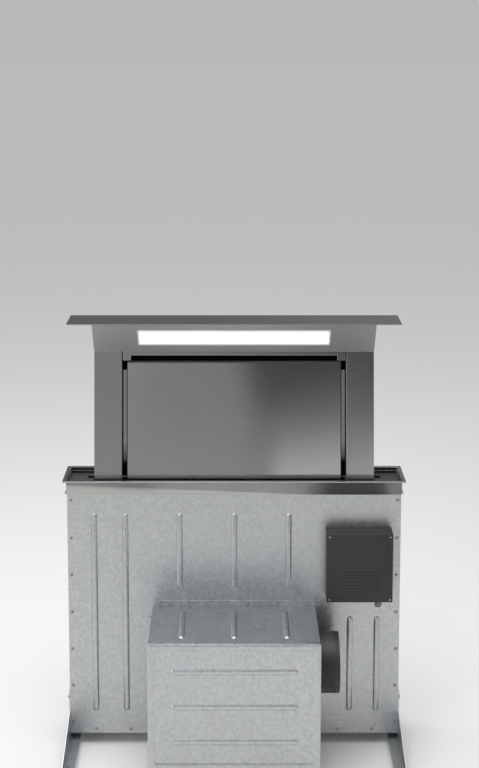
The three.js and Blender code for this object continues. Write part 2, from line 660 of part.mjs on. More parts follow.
function impeller() {
  const back = SCROLL_BACK_Y + SCROLL_WALL + IMPELLER_BACK_GAP;
  const front = back + IMPELLER_LENGTH;
  const centre = [FAN_X, 0, FAN_Z];
  const plate = rod(IMPELLER_RADIUS, [back, back + IMPELLER_PLATE], Y_AXIS, centre, 48);
  const inner = IMPELLER_RADIUS - BLADE_CHORD / 2;
  const ring = tube(inner, IMPELLER_RADIUS, [front - IMPELLER_RING, front], Y_AXIS, centre, 48);
  const hub = rod(HUB_RADIUS, [back, back + HUB_LENGTH], Y_AXIS, centre);
  const bore = rod(FAN_SHAFT_RADIUS + FIT, [back - 1, back + HUB_LENGTH + 1], Y_AXIS, centre, 12);
  let blades = null;
  for (let i = 0; i < BLADE_COUNT; i += 1) {
    const geometry = extruded(bladeOutline(), IMPELLER_LENGTH - 2);
    geometry.applyMatrix4(new THREE.Matrix4().makeBasis(X_AXIS, Z_AXIS, Y_AXIS.clone().negate()));
    geometry.rotateY((i * 2 * Math.PI) / BLADE_COUNT);
    geometry.translate(FAN_X, front - 1, FAN_Z);
    const blade = toSolid(geometry);
    blades = blades ? blades.add(blade) : blade;
  }
  return cut(union(plate, ring, blades, hub), bore);
}

function fanMotor() {
  const seat = SCROLL_BACK_Y - FIT;
  const back = seat - FAN_MOTOR_FLANGE - FAN_MOTOR_LENGTH;
  const shaftEnd = SCROLL_BACK_Y + SCROLL_WALL + IMPELLER_BACK_GAP + HUB_LENGTH;
  const r = FAN_MOTOR_RADIUS;
  const chamfer = FAN_MOTOR_CHAMFER;
  return turned([
    [0, back], [r - chamfer, back], [r, back + chamfer], [r, seat - FAN_MOTOR_FLANGE],
    [FAN_MOTOR_FLANGE_RADIUS, seat - FAN_MOTOR_FLANGE], [FAN_MOTOR_FLANGE_RADIUS, seat],
    [FAN_SHAFT_RADIUS, seat], [FAN_SHAFT_RADIUS, shaftEnd], [0, shaftEnd],
  ], Y_AXIS, [FAN_X, 0, FAN_Z], 36);
}

function blowerBox() {
  const coverSeat = BLOWER_FRONT + SHEET + FIT;
  const shell = box([-BLOWER_X, BLOWER_X], [coverSeat, BLOWER_BACK], [BLOWER_BOTTOM_Z, BLOWER_TOP_Z]);
  const room = box(
    [-BLOWER_X + SHEET, BLOWER_X - SHEET],
    [coverSeat - 1, BLOWER_BACK - SHEET],
    [BLOWER_BOTTOM_Z + SHEET, BLOWER_TOP_Z - SHEET],
  );
  const port = box(
    [-FAN_PORT_WIDTH / 2, FAN_PORT_WIDTH / 2],
    [BLOWER_BACK - SHEET - 1, BLOWER_BACK + 1],
    [FAN_PORT_BOTTOM_Z, FAN_PORT_TOP_Z],
  );
  const sideWall = [BLOWER_X - SHEET - 1, BLOWER_X + 1];
  const outlet = rod(COLLAR_RADIUS, sideWall, X_AXIS, [0, COLLAR_Y, COLLAR_Z], 36);
  return cut(shell, room, port, outlet);
}

// cover with a lip that turns in over the box's top and bottom
function blowerCover() {
  const reach = BLOWER_X + FIT + SHEET;
  const top = BLOWER_TOP_Z + FIT;
  const bottom = BLOWER_BOTTOM_Z - FIT;
  const plate = box([-reach, reach], [BLOWER_FRONT, BLOWER_FRONT + SHEET], [bottom - SHEET, top + SHEET]);
  const lips = [[top, top + SHEET], [bottom - SHEET, bottom]].map((heights) =>
    box([-reach, reach], [BLOWER_FRONT, BLOWER_FRONT + COVER_LIP], heights));
  return union(plate, ...lips);
}

function outletCollar() {
  const r = COLLAR_RADIUS;
  const bead = COLLAR_BEAD;
  const beadAt = COLLAR_LENGTH - COLLAR_BEAD_FROM_END;
  const shell = turned([
    [r - COLLAR_WALL, 0], [COLLAR_FLANGE_RADIUS, 0], [COLLAR_FLANGE_RADIUS, SHEET], [r, SHEET],
    [r, beadAt - bead * 2], [r + bead, beadAt], [r, beadAt + bead * 2], [r, COLLAR_LENGTH],
    [r - COLLAR_WALL, COLLAR_LENGTH], [r - COLLAR_WALL, 0],
  ], X_AXIS, [COLLAR_X, COLLAR_Y, COLLAR_Z], 48);
  const holes = [-1, 1].map((half) => rod(
    FLAP_PIN_RADIUS + FIT,
    [-r - 1, r + 1],
    Z_AXIS,
    [COLLAR_X + FLAP_X_IN_COLLAR, COLLAR_Y + half * FLAP_PIN_OFFSET, COLLAR_Z],
    10,
  ));
  return cut(shell, ...holes);
}

// half disc on an upright pin; half is -1 for the flap on the front (-Y) side
function damperFlap(half) {
  const radius = COLLAR_RADIUS - COLLAR_WALL - FLAP_EDGE_GAP;
  const shape = new THREE.Shape();
  const start = Math.asin(FLAP_PIN_OFFSET / radius);
  shape.absarc(0, 0, radius, start, Math.PI - start);
  const disc = extruded(shape, FLAP_THICKNESS, 24);
  const outwards = Y_AXIS.clone().multiplyScalar(half);
  const through = X_AXIS.clone().multiplyScalar(-half);
  disc.applyMatrix4(new THREE.Matrix4().makeBasis(Z_AXIS, outwards, through));
  const x = COLLAR_X + FLAP_X_IN_COLLAR;
  disc.translate(x + (half * FLAP_THICKNESS) / 2, COLLAR_Y, COLLAR_Z);
  const pinAt = [x, COLLAR_Y + half * FLAP_PIN_OFFSET, COLLAR_Z];
  const reach = COLLAR_RADIUS - COLLAR_WALL / 2;
  const pin = rod(FLAP_PIN_RADIUS, [-reach, reach], Z_AXIS, pinAt, 10);
  return toSolid(disc).add(pin);
}

scrollSolids();
add('impeller', BLACK_PLASTIC, impeller());
add('fan_motor', DARK_STEEL, fanMotor());
add('blower_box', GALVANISED, blowerBox());
add('blower_cover', GALVANISED, blowerCover());
add('outlet_collar', BLACK_PLASTIC, outletCollar());
add('flap_front', BLACK_PLASTIC, damperFlap(-1));
add('flap_rear', BLACK_PLASTIC, damperFlap(1));

// ---------------------------------------------------------------- electronics box

function electronics() {
  const { width, depth, top, height, wall } = ELECTRONICS;
  const bottom = top - height;
  const back = HOUSING_FRONT - FIT;
  const front = back - depth + wall + FIT;
  const across = [ELECTRONICS_X, ELECTRONICS_X + width];
  const inside = [ELECTRONICS_X + wall, ELECTRONICS_X + width - wall];
  const shell = box(across, [front, back], [bottom, top]);
  const room = box(inside, [front - 1, back - wall], [bottom + wall, top - wall]);
  const glandAt = [GLAND_X, back - depth / 2, 0];
  const r = GLAND_RADIUS;
  const glandHole = rod(r * GLAND_TIP, [bottom - 1, bottom + wall + 1], Z_AXIS, glandAt);
  add('electronics_box', BLACK_PLASTIC, cut(shell, room, glandHole));
  add('electronics_cover', BLACK_PLASTIC, box(across, [back - depth, back - depth + wall], [bottom, top]));
  const seat = bottom - FIT;
  const shoulder = seat - GLAND_LENGTH * GLAND_SEAT;
  const tip = seat - GLAND_LENGTH;
  add('cable_gland', GREY_PLASTIC, turned([
    [0, tip], [r * GLAND_TIP, tip], [r * GLAND_DOME, shoulder], [r, shoulder], [r, seat], [0, seat],
  ], Z_AXIS, glandAt, 12));
}

electronics();

// ---------------------------------------------------------------- supports

function supportLeg(side) {
  const near = HOUSING_X + FIT;
  const far = near + LEG_PLATE;
  const plateFront = HOUSING_FRONT + LEG_PLATE_INSET;
  const upright = box(
    onSide(side, [near, far]),
    [plateFront, HOUSING_BACK - LEG_PLATE_INSET],
    [LEG_BOTTOM_Z, LEG_TOP_Z + LEG_RISE],
  );
  const arm = box(onSide(side, [far - LEG_WIDTH, far]), [LEG_FRONT_Y, LEG_BACK_Y], [LEG_BOTTOM_Z, LEG_TOP_Z]);
  const gusset = alongX(outline([
    [plateFront, LEG_BOTTOM_Z], [plateFront, LEG_TOP_Z + LEG_RISE * LEG_GUSSET],
    [LEG_FRONT_Y, LEG_TOP_Z + LEG_PLATE * 3], [LEG_FRONT_Y, LEG_BOTTOM_Z],
  ].reverse()), onSide(side, [near, far]));
  const holes = footPlaces(side).map((at) =>
    rod(FOOT_STUD_RADIUS + FIT, [LEG_BOTTOM_Z - 1, LEG_TOP_Z + 1], Z_AXIS, at, 12));
  return cut(union(upright, arm, gusset), ...holes);
}

function footPlaces(side) {
  const x = side * (HOUSING_X + FIT + LEG_PLATE - LEG_WIDTH / 2);
  return [[x, LEG_FRONT_Y + FOOT_END_INSET, 0], [x, LEG_BACK_Y - FOOT_END_INSET, 0]];
}

function levellingFoot(at) {
  const padTop = FOOT_BOTTOM_Z + FOOT_HEIGHT;
  const studTop = padTop + FOOT_STUD_HEIGHT;
  const nutTop = LEG_BOTTOM_Z - FIT;
  const nutBottom = nutTop - FOOT_NUT_HEIGHT;
  const r = FOOT_STUD_RADIUS;
  return turned([
    [0, FOOT_BOTTOM_Z], [FOOT_RADIUS - FOOT_EDGE, FOOT_BOTTOM_Z], [FOOT_RADIUS, FOOT_BOTTOM_Z + FOOT_EDGE],
    [FOOT_RADIUS / 2, padTop], [r, padTop], [r, nutBottom], [FOOT_NUT_RADIUS, nutBottom],
    [FOOT_NUT_RADIUS, nutTop], [r, nutTop], [r, studTop], [0, studTop],
  ], Z_AXIS, at, 18);
}

for (const [word, side] of SIDES) {
  add(`support_leg_${word}`, GALVANISED, supportLeg(side));
  footPlaces(side).forEach((at, i) => {
    add(`foot_${['front', 'rear'][i]}_${word}`, RUBBER, levellingFoot(at));
  });
}

// ---------------------------------------------------------------- tower: head

function headShell(lightCut) {
  const floorFront = FASCIA_FOOT_Y + HEAD_FLOOR_SETBACK;
  const back = TOWER_BACK - SHEET - FIT;
  const slope = Math.hypot(FASCIA_FOOT_Y - FASCIA_TOP_Y, FASCIA_TOP_Z - FASCIA_FOOT_Z);
  const inset = (SHEET * slope) / (FASCIA_TOP_Z - FASCIA_FOOT_Z);
  const outside = outline([
    [FASCIA_TOP_Y, FASCIA_TOP_Z], [FASCIA_FOOT_Y, FASCIA_FOOT_Z], [floorFront, HEAD_FLOOR_Z],
    [back, HEAD_FLOOR_Z], [back, FASCIA_TOP_Z],
  ]);
  const over = SHEET;
  const lean = (FASCIA_FOOT_Y - FASCIA_TOP_Y) / (FASCIA_TOP_Z - FASCIA_FOOT_Z);
  const inside = outline([
    [FASCIA_TOP_Y + inset - lean * over, FASCIA_TOP_Z + over],
    [FASCIA_FOOT_Y + inset - lean * SHEET, FASCIA_FOOT_Z + SHEET],
    [floorFront + inset, HEAD_FLOOR_Z + SHEET],
    [back + over, HEAD_FLOOR_Z + SHEET], [back + over, FASCIA_TOP_Z + over],
  ]);
  const shell = alongX(outside, [-TOWER_X, TOWER_X]);
  const room = alongX(inside, [-TOWER_X + SHEET, TOWER_X - SHEET]);
  return cut(shell, room, lightCut);
}

// the light sits in a frame of its own: x across, z up the fascia's slope, -y out of it
const fascia = new THREE.Group();
const fasciaDrop = FASCIA_TOP_Z - FASCIA_FOOT_Z;
const fasciaSlope = Math.hypot(FASCIA_FOOT_Y - FASCIA_TOP_Y, fasciaDrop);
const lightShare = (LIGHT_FROM_TOP + LIGHT_HEIGHT / 2) / fasciaSlope;
fascia.rotation.x = Math.atan2(FASCIA_FOOT_Y - FASCIA_TOP_Y, fasciaDrop);
fascia.position.set(
  0,
  FASCIA_TOP_Y + (FASCIA_FOOT_Y - FASCIA_TOP_Y) * lightShare,
  FASCIA_TOP_Z - fasciaDrop * lightShare,
);
fascia.updateMatrix();
group.add(fascia);

const lightX = LIGHT_LENGTH / 2;
const lightZ = LIGHT_HEIGHT / 2;

// a box centred on the light, grown by some margin
const lightBox = (margin, depths) =>
  box([-lightX - margin, lightX + margin], depths, [-lightZ - margin, lightZ + margin]);

function lightCutter() {
  const margin = LIGHT_GAP + BEZEL_WALL + FIT;
  const through = 4 * SHEET;
  const geometry = new THREE.BoxGeometry(LIGHT_LENGTH + 2 * margin, through, LIGHT_HEIGHT + 2 * margin);
  geometry.applyMatrix4(fascia.matrix);
  return toSolid(geometry);
}

function ledBezel() {
  const opening = lightBox(LIGHT_GAP, [-BEZEL_PROUD - 1, BEZEL_DEPTH + 1]);
  const sleeve = lightBox(LIGHT_GAP + BEZEL_WALL, [-BEZEL_PROUD, BEZEL_DEPTH]);
  const flange = lightBox(LIGHT_GAP + BEZEL_WALL + BEZEL_FLANGE, [-BEZEL_PROUD - FIT, -FIT]);
  return union(sleeve, flange).subtract(opening);
}

add('head_shell', BRUSHED, headShell(lightCutter()));
add('led_bezel', ALUMINIUM, ledBezel(), fascia);
add('led_diffuser', DIFFUSER, lightBox(0, [0, LIGHT_THICKNESS]), fascia);
const boardY = BEZEL_DEPTH + FIT;
add('led_board', BOARD, lightBox(LIGHT_GAP + BEZEL_WALL / 2, [boardY, boardY + LED_BOARD_THICKNESS]), fascia);

const lidX = INNER_X - LID_SIDE_GAP;
const lidOutline = rounded([-lidX, lidX], [LID_FRONT, LID_BACK], LID_CORNER);
add('lid', BRUSHED, alongZ(lidOutline, [LID_BOTTOM, LID_TOP], 3));

// ---------------------------------------------------------------- tower: columns, rail and rear

const columnTop = HEAD_FLOOR_Z - FIT;
const columnBottom = CROSS_TOP_Z + FIT;

function column(side) {
  const back = TOWER_BACK - SHEET - FIT;
  const sideView = (inset, top, bottom, rear) => outline([
    [faceY(bottom) + inset, bottom], [rear, bottom], [rear, top],
    [faceY(top) + inset, top], [faceY(FACE_KNEE_Z) + inset, FACE_KNEE_Z],
  ]);
  const shell = alongX(sideView(0, columnTop, columnBottom, back), onSide(side, [COLUMN_INNER_X, TOWER_X]));
  const room = alongX(
    sideView(SHEET, columnTop - SHEET, columnBottom - 1, back + 1),
    onSide(side, [COLUMN_INNER_X + SHEET, TOWER_X - SHEET]),
  );
  const pinY = faceY(PANEL_PIN_Z) + PANEL_PIN_DEPTH;
  const pinHole = rod(
    PANEL_PIN_RADIUS + FIT,
    onSide(side, [COLUMN_INNER_X - 1, COLUMN_INNER_X + SHEET + 1]),
    X_AXIS,
    [0, pinY, PANEL_PIN_Z],
    16,
  );
  return cut(shell, room, pinHole);
}

// rail over the top slot, with a block at each end that comes down beside it
function topRail() {
  const end = COLUMN_INNER_X - RAIL_END_GAP;
  const section = (top, bottom) => outline([
    [faceY(bottom), bottom], [faceY(bottom) + RAIL_DEPTH, bottom],
    [faceY(top) + RAIL_DEPTH, top], [faceY(top), top],
  ]);
  const bar = alongX(section(columnTop, RAIL_BOTTOM_Z), [-end, end]);
  const blocks = SIDES.map(([, side]) =>
    alongX(section(columnTop, CORNER_BLOCK_BOTTOM_Z), onSide(side, [end - CORNER_BLOCK_WIDTH, end])));
  return union(bar, ...blocks);
}

// strip behind a side slot, with its return towards the back and the ledge the filter stands on
function slotStrip(side) {
  const far = COLUMN_INNER_X - STRIP_SIDE_GAP;
  const leaning = (top, bottom, front, back) => outline([
    [faceY(bottom) + front, bottom], [faceY(bottom) + back, bottom],
    [faceY(top) + back, top], [faceY(top) + front, top],
  ]);
  const rear = STRIP_SETBACK + SHEET;
  const web = alongX(leaning(STRIP_TOP_Z, STRIP_BOTTOM_Z, STRIP_SETBACK, rear), onSide(side, [PANEL_X, far]));
  const back = STRIP_SETBACK + STRIP_RETURN;
  const flank = alongX(
    leaning(STRIP_TOP_Z, STRIP_BOTTOM_Z, STRIP_SETBACK, back),
    onSide(side, [far - SHEET, far]),
  );
  const ledgeTop = STRIP_BOTTOM_Z + LEDGE_THICKNESS;
  const ledge = alongX(
    leaning(ledgeTop, STRIP_BOTTOM_Z, STRIP_SETBACK, back),
    onSide(side, [PANEL_X - LEDGE_LENGTH, COLUMN_INNER_X - FIT]),
  );
  return union(web, flank, ledge);
}

// aluminium baffle cassette that stands on the ledges, with a pull at its front
function greaseFilter(side) {
  const bottom = STRIP_BOTTOM_Z + LEDGE_THICKNESS + FIT;
  const front = STRIP_SETBACK;
  const lying = (top, foot, near, far) => outline([
    [faceY(foot) + near, foot], [faceY(foot) + far, foot], [faceY(top) + far, top], [faceY(top) + near, top],
  ]);
  const reach = [FIT, PANEL_X - FIT];
  const plate = alongX(lying(FILTER_TOP_Z, bottom, front, front + FILTER_THICKNESS), onSide(side, reach));
  const open = [reach[0] + FILTER_BORDER, reach[1] - FILTER_BORDER];
  const pitch = (open[1] - open[0]) / FILTER_SLOTS;
  const slots = [];
  for (let i = 0; i < FILTER_SLOTS; i += 1) {
    const near = open[0] + pitch * (i + (1 - FILTER_SLOT_DUTY) / 2);
    slots.push(alongX(
      lying(FILTER_TOP_Z - FILTER_BORDER, bottom + FILTER_BORDER, front - 1, front + FILTER_THICKNESS + 1),
      onSide(side, [near, near + pitch * FILTER_SLOT_DUTY]),
    ));
  }
  const middle = (reach[0] + reach[1]) / 2;
  const handleTop = FILTER_TOP_Z - FILTER_HANDLE_DROP;
  const pull = alongX(
    lying(handleTop, handleTop - FILTER_HANDLE_WIDTH, front - FILTER_HANDLE_PROUD, front + 1),
    onSide(side, [middle - FILTER_HANDLE_LENGTH / 2, middle + FILTER_HANDLE_LENGTH / 2]),
  );
  return cut(plate, ...slots).add(pull);
}

for (const [word, side] of SIDES) {
  add(`column_${word}`, BRUSHED, column(side));
  add(`slot_strip_${word}`, BRUSHED, slotStrip(side));
  add(`grease_filter_${word}`, ALUMINIUM, greaseFilter(side));
}
add('top_rail', BRUSHED, topRail());
const rearHeights = [columnBottom, FASCIA_TOP_Z];
add('tower_rear', BRUSHED, box([-TOWER_X, TOWER_X], [TOWER_BACK - SHEET, TOWER_BACK], rearHeights));

// ---------------------------------------------------------------- tower: foot

const footFront = faceY(FACE_KNEE_Z);

// ring round the air duct that ties the columns together, with a wing out to each screw
function crossmember() {
  const heights = [CROSS_BOTTOM_Z, CROSS_TOP_Z];
  const ring = box([-TOWER_X, TOWER_X], [footFront, TOWER_BACK], heights);
  const duct = box(
    [-DUCT_HALF_WIDTH, DUCT_HALF_WIDTH],
    [footFront + CROSS_WALL, TOWER_BACK - CROSS_WALL],
    [heights[0] - 1, heights[1] + 1],
  );
  const pockets = SIDES.map(([, side]) => box(
    onSide(side, [DUCT_HALF_WIDTH + CROSS_WALL, TOWER_X - CROSS_WALL]),
    [footFront + CROSS_WALL, TOWER_BACK - CROSS_WALL],
    [CROSS_BOTTOM_Z + CROSS_FLOOR, heights[1] + 1],
  ));
  const wings = SIDES.map(([, side]) => {
    const depth = [SCREW_Y - WING_REACH_FRONT, SCREW_Y + WING_REACH_BACK];
    const plate = box(onSide(side, [TOWER_X - 1, WING_X]), depth, [CROSS_BOTTOM_Z, wingTop]);
    const at = [side * SCREW_X, SCREW_Y, 0];
    const bore = rod(SCREW_BORE + WING_BORE_GAP, [CROSS_BOTTOM_Z - 1, wingTop + 1], Z_AXIS, at);
    return plate.subtract(bore);
  });
  const skirtX = COLUMN_INNER_X - FIT;
  const skirt = box([-skirtX, skirtX], [footFront, footFront + SHEET], [CROSS_TOP_Z - 1, SKIRT_TOP_Z]);
  return union(cut(ring, duct, ...pockets), ...wings, skirt);
}

function driveNut(side) {
  const half = NUT_SIZE / 2;
  const bottom = wingTop + FIT;
  const block = box(
    [side * SCREW_X - half, side * SCREW_X + half],
    [SCREW_Y - half, SCREW_Y + half],
    [bottom, bottom + NUT_HEIGHT],
  );
  const bore = rod(SCREW_BORE, [bottom - 1, bottom + NUT_HEIGHT + 1], Z_AXIS, [side * SCREW_X, SCREW_Y, 0]);
  return block.subtract(bore);
}

function slider(side) {
  const half = GUIDE_RAIL_WIDTH / 2 - GUIDE_RAIL_WALL - FIT;
  return box(
    onSide(side, [WING_X + FIT, RAIL_FACE_X - GUIDE_RAIL_WALL - FIT]),
    [SCREW_Y - half, SCREW_Y + half],
    [CROSS_BOTTOM_Z, CROSS_BOTTOM_Z + SLIDER_HEIGHT],
  );
}

add('crossmember', GALVANISED, crossmember());
for (const [word, side] of SIDES) {
  add(`drive_nut_${word}`, NYLON, driveNut(side));
  add(`slider_${word}`, NYLON, slider(side));
}

// ---------------------------------------------------------------- front panel

// a shallow pan, bevelled along its top, that turns on the pin at each side of its foot
function frontPanel() {
  const bevelZ = PANEL_TOP_Z - PANEL_BEVEL_HEIGHT;
  const section = outline([
    [faceY(PANEL_BOTTOM_Z), PANEL_BOTTOM_Z],
    [faceY(PANEL_BOTTOM_Z) + PANEL_THICKNESS, PANEL_BOTTOM_Z],
    [faceY(PANEL_TOP_Z) + PANEL_THICKNESS, PANEL_TOP_Z],
    [faceY(PANEL_TOP_Z) + PANEL_BEVEL_DEPTH, PANEL_TOP_Z],
    [faceY(bevelZ), bevelZ],
  ]);
  const roomBottom = PANEL_BOTTOM_Z + SHEET;
  const roomTop = bevelZ - SHEET;
  const hollow = outline([
    [faceY(roomBottom) + SHEET, roomBottom], [faceY(roomBottom) + PANEL_THICKNESS + 1, roomBottom],
    [faceY(roomTop) + PANEL_THICKNESS + 1, roomTop], [faceY(roomTop) + SHEET, roomTop],
  ]);
  const pan = alongX(section, [-PANEL_X, PANEL_X]);
  const room = alongX(hollow, [-PANEL_X + SHEET, PANEL_X - SHEET]);
  const pinReach = COLUMN_INNER_X + SHEET;
  const pins = SIDES.map(([, side]) => rod(
    PANEL_PIN_RADIUS,
    onSide(side, [PANEL_X - SHEET * 2, pinReach]),
    X_AXIS,
    [0, faceY(PANEL_PIN_Z) + PANEL_PIN_DEPTH, PANEL_PIN_Z],
    16,
  ));
  return union(cut(pan, room), ...pins);
}

add('front_panel', PANEL_STEEL, frontPanel());

// ---------------------------------------------------------------- place

// the origin is under the middle of the object's box, on the floor
group.position.set(0, -(BLOWER_FRONT + FRAME_DEPTH) / 2, -FOOT_BOTTOM_Z);

export default group;
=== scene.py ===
"""The looks of a downdraft vent: brushed steel tower with a lit head, over its zinc-coated housing."""
import json
import math

import bmesh
import bpy
from mathutils import Matrix, Vector


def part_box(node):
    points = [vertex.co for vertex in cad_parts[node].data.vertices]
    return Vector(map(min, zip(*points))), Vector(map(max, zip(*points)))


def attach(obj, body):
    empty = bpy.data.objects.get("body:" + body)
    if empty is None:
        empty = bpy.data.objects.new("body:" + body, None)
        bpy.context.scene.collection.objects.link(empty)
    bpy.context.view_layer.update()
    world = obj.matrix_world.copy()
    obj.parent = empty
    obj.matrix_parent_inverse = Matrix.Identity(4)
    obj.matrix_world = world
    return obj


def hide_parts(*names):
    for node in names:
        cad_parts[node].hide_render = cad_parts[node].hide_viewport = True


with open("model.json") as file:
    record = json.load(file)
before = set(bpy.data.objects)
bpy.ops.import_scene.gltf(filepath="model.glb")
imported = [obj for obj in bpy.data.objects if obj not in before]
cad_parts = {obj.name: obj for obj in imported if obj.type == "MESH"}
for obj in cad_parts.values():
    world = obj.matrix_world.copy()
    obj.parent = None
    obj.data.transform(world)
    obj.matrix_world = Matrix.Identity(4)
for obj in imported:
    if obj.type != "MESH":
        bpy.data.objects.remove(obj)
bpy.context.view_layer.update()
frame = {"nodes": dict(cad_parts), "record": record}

MM = 0.001
BODY_OF = {node: body for body, nodes in frame["record"]["behaviour"]["bodies"].items() for node in nodes}
SLOT_OF = {row["node"]: row["material_slot"] for row in frame["record"]["subparts"]}
SIDES = (("left", -1), ("right", 1))
FRONT, BACK, UP, DOWN = Vector((0, -1, 0)), Vector((0, 1, 0)), Vector((0, 0, 1)), Vector((0, 0, -1))


def outwards(side):
    return Vector((side, 0, 0))


def both(*names):
    return [f"{name}_{side}" for name in names for side, _ in SIDES]


# ---------------------------------------------------------------- places read from the frame

def box(node):
    low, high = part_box(node)
    return Vector(low), Vector(high)


WORKTOP_Z = box("frame_seal")[0].z
FRAME_LOW, FRAME_HIGH = box("worktop_frame")
FRAME_MID_Y, FRAME_HALF_Y = (FRAME_LOW.y + FRAME_HIGH.y) / 2, (FRAME_HIGH.y - FRAME_LOW.y) / 2
TOWER_LOW, TOWER_HIGH = box("tower_rear")
PANEL_LOW, PANEL_HIGH = box("front_panel")
COLUMN_INNER = box("column_right")[0].x
STRIP_FOOT_Z = box("slot_strip_left")[0].z
HOUSING_LOW, HOUSING_HIGH = box("housing_front")
REAR_Y = box("housing_rear")[1].y
HOUSING_MID_Y = (HOUSING_LOW.y + REAR_Y) / 2
BLOWER_LOW, BLOWER_HIGH = box("blower_box")
COVER_LOW, COVER_HIGH = box("blower_cover")
ELECTRONICS_FOOT_Z = box("electronics_box")[0].z


# ---------------------------------------------------------------- camera

CAMERA_BACK = 3.6705           # from the worktop frame's front edge
CAMERA_RISE = 1.174            # above the worktop
CAMERA_PITCH = math.radians(7.5)
CAMERA_SENSOR = 36
CAMERA_LENS = 69.6
CAMERA_SHIFT = (0.00703, -0.22)


def make_camera():
    data = bpy.data.cameras.new("camera")
    data.sensor_width = CAMERA_SENSOR
    data.lens = CAMERA_LENS
    data.shift_x, data.shift_y = CAMERA_SHIFT
    camera = bpy.data.objects.new("camera", data)
    camera.location = (0, FRAME_LOW.y - CAMERA_BACK, WORKTOP_Z + CAMERA_RISE)
    camera.rotation_euler = (math.pi / 2 - CAMERA_PITCH, 0, 0)
    bpy.context.collection.objects.link(camera)
    bpy.context.scene.camera = camera


make_camera()


# ---------------------------------------------------------------- materials

def connect(links, socket, value):
    """Feeds a socket from another one, or sets what it holds."""
    if isinstance(value, bpy.types.NodeSocket):
        links.new(value, socket)
    else:
        socket.default_value = value


def math_node(tree, operation, a, b):
    node = tree.nodes.new("ShaderNodeMath")
    node.operation = operation
    for socket, value in zip(node.inputs, (a, b)):
        connect(tree.links, socket, value)
    return node.outputs["Value"]


class Graph:
    """A node tree and its Principled shader."""

    def __init__(self, name, color, metallic, roughness, **sockets):
        self.material = bpy.data.materials.new(name)
        self.material.use_nodes = True
        self.tree = self.material.node_tree
        self.shader = self.tree.nodes["Principled BSDF"]
        self.set("Base Color", (*color, 1))
        self.set("Metallic", metallic)
        self.set("Roughness", roughness)
        for key, value in sockets.items():
            self.set(key.replace("_", " "), value)

    def set(self, socket, value):
        self.shader.inputs[socket].default_value = value

    def add(self, kind, **inputs):
        node = self.tree.nodes.new("ShaderNode" + kind)
        for key, value in inputs.items():
            connect(self.tree.links, node.inputs[key.replace("_", " ")], value)
        return node

    def feed(self, socket, output):
        self.tree.links.new(output, self.shader.inputs[socket])

    def coordinates(self):
        return self.add("TexCoord").outputs["Object"]

    def place(self, scale=(1, 1, 1)):
        return self.add("Mapping", Vector=self.coordinates(), Scale=scale).outputs["Vector"]

    def noise(self, scale, stretch=(1, 1, 1), detail=2.0):
        return self.add("TexNoise", Vector=self.place(stretch), Scale=scale, Detail=detail).outputs["Fac"]

    def spread(self, value, low, high):
        return self.add("MapRange", Value=value, To_Min=low, To_Max=high).outputs["Result"]

    def math(self, operation, a, b):
        return math_node(self.tree, operation, a, b)

    def ramp(self, value, *stops):
        node = self.add("ValToRGB", Fac=value)
        elements = node.color_ramp.elements
        while len(elements) < len(stops):
            elements.new(0.5)
        for element, (position, color) in zip(elements, stops):
            element.position = position
            element.color = (*color, 1)
        return node.outputs["Color"]

    def bump(self, height, distance, strength):
        node = self.add("Bump", Height=height, Distance=distance, Strength=strength)
        self.feed("Normal", node.outputs["Normal"])


def tinted(color, share):
    return tuple(c * share for c in color)


STEEL = (0.437, 0.433, 0.421)
GRAIN_ALONG_X = (1.5, 90, 90)  # stretch that draws the noise out into streaks
STREAK_SCALE = 22
GRAIN_DEPTH, GRAIN_STRENGTH = 0.02 * MM, 0.25
ROUGHNESS_SWING = 0.06


def brushed_steel(name, color=STEEL, roughness=0.16, grain=GRAIN_ALONG_X, contrast=0.05, metallic=1.0):
    """Steel with fine streaks along X, the way the grain runs."""
    g = Graph(name, color, metallic, roughness)
    streak = g.noise(STREAK_SCALE, grain, 6)
    broad = g.noise(2.1, (1, 1.6, 1.6), 2)
    dark, bright = tinted(color, 1 - contrast), tinted(color, 1 + contrast)
    g.feed("Base Color", g.ramp(streak, (0.3, dark), (0.7, bright)))
    blend = g.math("MULTIPLY", g.math("ADD", streak, broad), 0.5)
    g.feed("Roughness", g.spread(blend, roughness - ROUGHNESS_SWING, roughness + ROUGHNESS_SWING))
    g.bump(streak, GRAIN_DEPTH, GRAIN_STRENGTH)
    return g.material


def shaded_slot_steel(name, low, high):
    """The strips behind the side slots, with painted shade that darkens their finish towards the foot."""
    g = Graph(name, STEEL, 1.0, 0.25)
    split = g.add("SeparateXYZ", Vector=g.coordinates())
    height = g.add("MapRange", Value=split.outputs["Z"], From_Min=low, From_Max=high).outputs["Result"]
    shade_height = g.math("ADD", height, g.spread(g.noise(40), -0.04, 0.04))
    # painted shade: near black at the foot, half shade above it, the lit tone higher up
    black, half_shade, lit_tone = (tinted(STEEL, share) for share in (0.004, 0.4, 0.85))
    g.feed("Base Color", g.ramp(shade_height, (0.14, black), (0.21, half_shade), (0.32, lit_tone)))
    g.bump(g.noise(STREAK_SCALE, GRAIN_ALONG_X, 5), GRAIN_DEPTH, GRAIN_STRENGTH)
    return g.material


def galvanised(name, color):
    """Zinc-coated sheet: fine spangle whose crystals shine a little differently."""
    g = Graph(name, color, 1.0, 0.38)
    spangle = g.add("TexVoronoi", Vector=g.place(), Scale=150.0).outputs["Color"]
    grey = g.add("RGBToBW", Color=spangle).outputs["Val"]
    patch = g.noise(5, detail=3)
    shine = g.math("ADD", g.math("MULTIPLY", patch, 0.5), g.math("MULTIPLY", grey, 0.5))
    g.feed("Base Color", g.ramp(grey, (0.15, tinted(color, 0.9)), (0.85, tinted(color, 1.08))))
    g.feed("Roughness", g.spread(shine, 0.28, 0.48))
    g.bump(grey, 0.03 * MM, 0.25)
    return g.material


